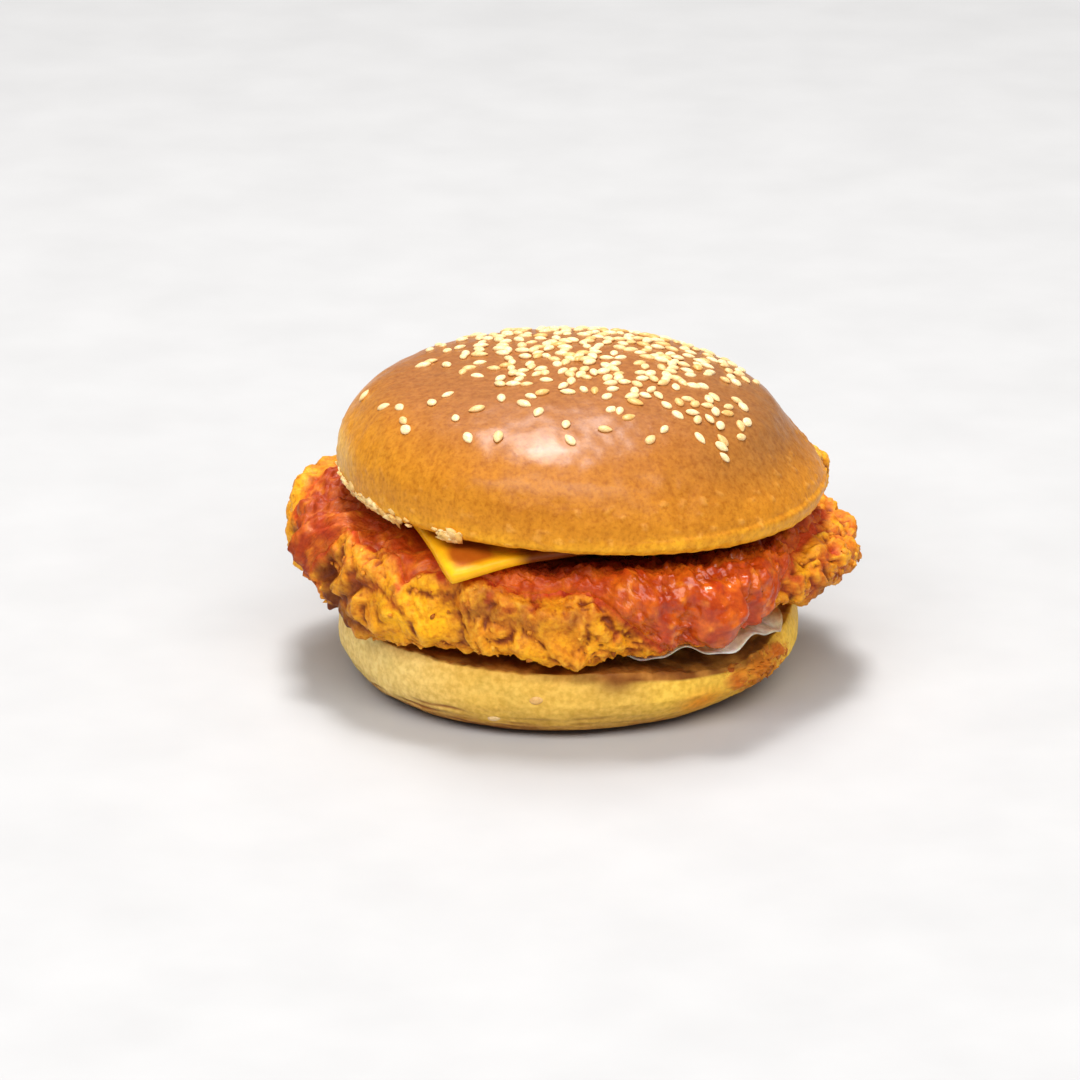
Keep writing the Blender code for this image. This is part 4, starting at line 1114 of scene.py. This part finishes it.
def crown_spot(angle, turn):
    """A place on the crown's skin and the way out from it."""
    step = 0.02
    around = np.array([angle, angle, angle, angle + step, angle - step])
    middle = max(turn, 0.05)
    down = np.array([turn, turn + step, max(turn - step, 0.0), middle, middle])
    spots = [Vector(p) for p in crown_place(crown_local(around, down))]
    out = (spots[1] - spots[2]).cross(spots[3] - spots[4]).normalized()
    return spots[0], out


def make_torn_crumb():
    draw = random.Random(3)
    lumps = []
    for _ in range(TORN_FLAKES):
        clumps = (draw.gauss(190, 6), draw.gauss(203, 7), draw.gauss(213, 6), draw.gauss(236, 1.6))
        degrees = draw.choice(clumps)
        spot, out = crown_spot(math.radians(degrees), math.radians(draw.triangular(108, 170, 138)))
        lean = (out + Vector((0, 0, draw.uniform(-0.9, 0.3)))).normalized()
        size, flat, share = draw.uniform(0.8, 3.1) * MM, draw.uniform(0.25, 0.6), draw.random()
        lumps.append((np.array(spot), lean, size, flat, between((255, 228, 170), (236, 184, 104), share)))
    return lump_piece("torn_crumb", lumps, draw)


dress(make_torn_crumb(), bread, "crown")

# Seeds
# Hulled sesame seeds that stick to the egg wash: drop-shaped, cream with a paler belly, thick over the top of
# the crown and thinning out down its front. Two more sit on the heel's side.

SEED_LENGTH = 3.4 * MM
SEED_WIDTH = 2.1 * MM
SEED_HEIGHT = 1.2 * MM
SEED_SUNK = 0.18 * MM
SEED_BED = (4 * MM, 11 * MM, 30 * MM)
SEED_RUN = (0.5, 27 * MM, 9 * MM, -19 * MM, 13 * MM)
SEED_FEW = (0.10, 0 * MM, 36 * MM, -22 * MM, 18 * MM)
SEED_STRAY = 0.015
SEED_OUTERMOST = 47 * MM
SEEDS_DRAWN = 330
SEED_SPACING = 1.9 * MM
HEEL_SEEDS = ((-98, 0.62, 0.6 * MM), (-109, 0.30, 1.9 * MM))


def seed_likelihood(x, y):
    off_bed = math.hypot(x - SEED_BED[0], y - SEED_BED[1]) / SEED_BED[2]
    bed = 1 / (1 + math.exp(14 * (off_bed - 1)))
    looser = sum(share * bump(x, a, w) * bump(y, b, d) for share, a, w, b, d in (SEED_RUN, SEED_FEW))
    return min(1.0, bed + looser + SEED_STRAY)


def draw_seeds():
    """Places of the seeds in plan and the way each one points, by a seeded draw."""
    draw = random.Random(7)
    placed = []
    while len(placed) < SEEDS_DRAWN:
        x = draw.uniform(-SEED_OUTERMOST, SEED_OUTERMOST)
        y = draw.uniform(-SEED_OUTERMOST, SEED_OUTERMOST)
        chance, heading, size = draw.random(), draw.uniform(0, 2 * math.pi), draw.uniform(0.88, 1.12)
        if math.hypot(x, y) > SEED_OUTERMOST or chance > seed_likelihood(x, y):
            continue
        if all(math.hypot(x - a, y - b) > SEED_SPACING for a, b, _, _ in placed):
            placed.append((x, y, heading, size))
    return placed


def seed_matrix(place, out, heading, size=1.0):
    side = Vector((math.cos(heading), math.sin(heading), 0.17))
    along = (side - out * side.dot(out)).normalized()
    turn = Matrix((along, out.cross(along), out)).transposed().to_4x4()
    return Matrix.Translation(place + out * SEED_SUNK) @ turn @ Matrix.Diagonal((size, size, size, 1))


def make_seeds():
    work = bmesh.new()
    bmesh.ops.create_uvsphere(work, u_segments=12, v_segments=8, radius=0.5)
    bmesh.ops.rotate(work, verts=work.verts, matrix=Matrix.Rotation(math.pi / 2, 3, "Y"))
    ball = np.array([v.co[:] for v in work.verts])
    faces = [[v.index for v in f.verts] for f in work.faces]
    work.free()
    narrow = 1 - 0.45 * np.maximum(0, ball[:, 0] * 2) ** 1.5
    drop = ball * xyz(SEED_LENGTH, SEED_WIDTH * narrow, SEED_HEIGHT * narrow)
    tip = 0.35 * np.clip(np.abs(ball[:, 0]) * 2, 0, 1) ** 3
    matrices = []
    for x, y, heading, size in draw_seeds():
        angle = math.atan2(y, x)
        share = min(math.hypot(x, y) / float(crown_radius(angle)), 1.0)
        turn = math.asin(share ** (float(crown_roundness(angle)) / 2))
        matrices.append(seed_matrix(*crown_spot(angle, turn), heading, size))
    for degrees, share, inset in HEEL_SEEDS:
        angle = math.radians(degrees)
        here = (np.array([angle]), np.array([HEEL_RADIUS - inset]), np.array([share * HEEL_HEIGHT]))
        out = Vector((math.cos(angle), math.sin(angle), share - 0.5)).normalized()
        matrices.append(seed_matrix(Vector(heel_points(*here)[0]), out, math.radians(30 * degrees)))
    draw = random.Random(23)
    vertices, all_faces, colours = [], [], []
    for k, matrix in enumerate(matrices):
        bend = np.array((draw.uniform(0.92, 1.08), draw.uniform(0.88, 1.1), draw.uniform(0.9, 1.15)))
        grid = np.array(matrix)
        vertices.append((drop * bend) @ grid[:3, :3].T + grid[:3, 3])
        all_faces += [[i + k * len(ball) for i in face] for face in faces]
        whole = between((250, 226, 178), (226, 178, 106), draw.random() ** 2)
        colours.append(tinted(whole, ((216, 160, 84), tip)))
    seeds = smooth_mesh("sesame_seeds", np.vstack(vertices), all_faces)
    paint(seeds, np.vstack(colours))
    return seeds


hulled = new_finish(
    "hulled_sesame",
    ((0.7, 3, (1, 1, 1), (0.35, (0.90, 0.84, 0.74)), (0.6, (1.04, 1.04, 1.04))),),
    relief=((0.5, 2, 0.04),),
    Roughness=0.38,
    Specular_IOR_Level=0.35,
    Subsurface_Weight=0.2,
    Subsurface_Scale=0.001,
    Subsurface_Radius=(1.0, 0.75, 0.4),
)
dress(make_seeds(), hulled, "crown")

# Stage
# A pale floor without edges, a broad soft light above and a little behind, a small one above for the glints
# on wet sauce and egg wash, a soft fill from the front, and a long lens that looks down on the burger.

FLOOR_SIDE = 12.0
FLOOR_SHADES = ((0.3, (0.49, 0.49, 0.493)), (0.7, (0.52, 0.52, 0.523)))
IMAGE_SIDE = 1080
PIXELS_PER_METRE = 4450
CAMERA_RISE = math.radians(20)
CAMERA_DISTANCE = 1.2
CAMERA_AIM = Vector((-7.08, 0, 29.5)) * MM
LIGHTS = (
    ("key", (-0.06, 0.48, 1.52), (0.44, 1.00), 16, (1.0, 0.985, 0.97)),
    ("glint", (-0.06, 0.24, 1.52), (0.32, 0.32), 9.5, (1.0, 0.985, 0.97)),
    ("fill", (-0.05, -1.25, 1.52), (3.2, 0.9), 48, (1.0, 0.99, 0.98)),
)
WORLD_STRENGTH = 0.25

half = FLOOR_SIDE / 2
corners = [(-half, -half, 0), (half, -half, 0), (half, half, 0), (-half, half, 0)]
floor = smooth_mesh("floor", corners, [(0, 1, 2, 3)])
finish, tree, shader = plain_finish("pale_floor", {"Roughness": 0.8})
tree.links.new(shades(tree, cloud(tree, 30, 3), FLOOR_SHADES), shader.inputs["Base Color"])
floor.data.materials.append(finish)

for name, place, side, power, colour in LIGHTS:
    light = bpy.data.lights.new(name, "AREA")
    light.shape = "RECTANGLE"
    light.size, light.size_y = side
    light.energy = power
    light.color = colour
    lamp = bpy.data.objects.new(name, light)
    lamp.location = place
    lamp.rotation_euler = (CAMERA_AIM - Vector(place)).to_track_quat("-Z", "Y").to_euler()
    bpy.context.scene.collection.objects.link(lamp)

world = bpy.data.worlds.new("studio")
world.use_nodes = True
sky = world.node_tree.nodes["Background"]
sky.inputs["Color"].default_value = (1, 1, 1, 1)
sky.inputs["Strength"].default_value = WORLD_STRENGTH
bpy.context.scene.world = world
bpy.context.scene.view_settings.view_transform = "Standard"

camera = bpy.data.objects.new("camera", bpy.data.cameras.new("camera"))
back = Vector((0, -math.cos(CAMERA_RISE), math.sin(CAMERA_RISE)))
camera.location = CAMERA_AIM + back * CAMERA_DISTANCE
camera.rotation_euler = (-back).to_track_quat("-Z", "Y").to_euler()
camera.data.lens = PIXELS_PER_METRE * CAMERA_DISTANCE / IMAGE_SIDE * camera.data.sensor_width
camera.data.clip_start = 0.05
bpy.context.scene.collection.objects.link(camera)
bpy.context.scene.camera = camera
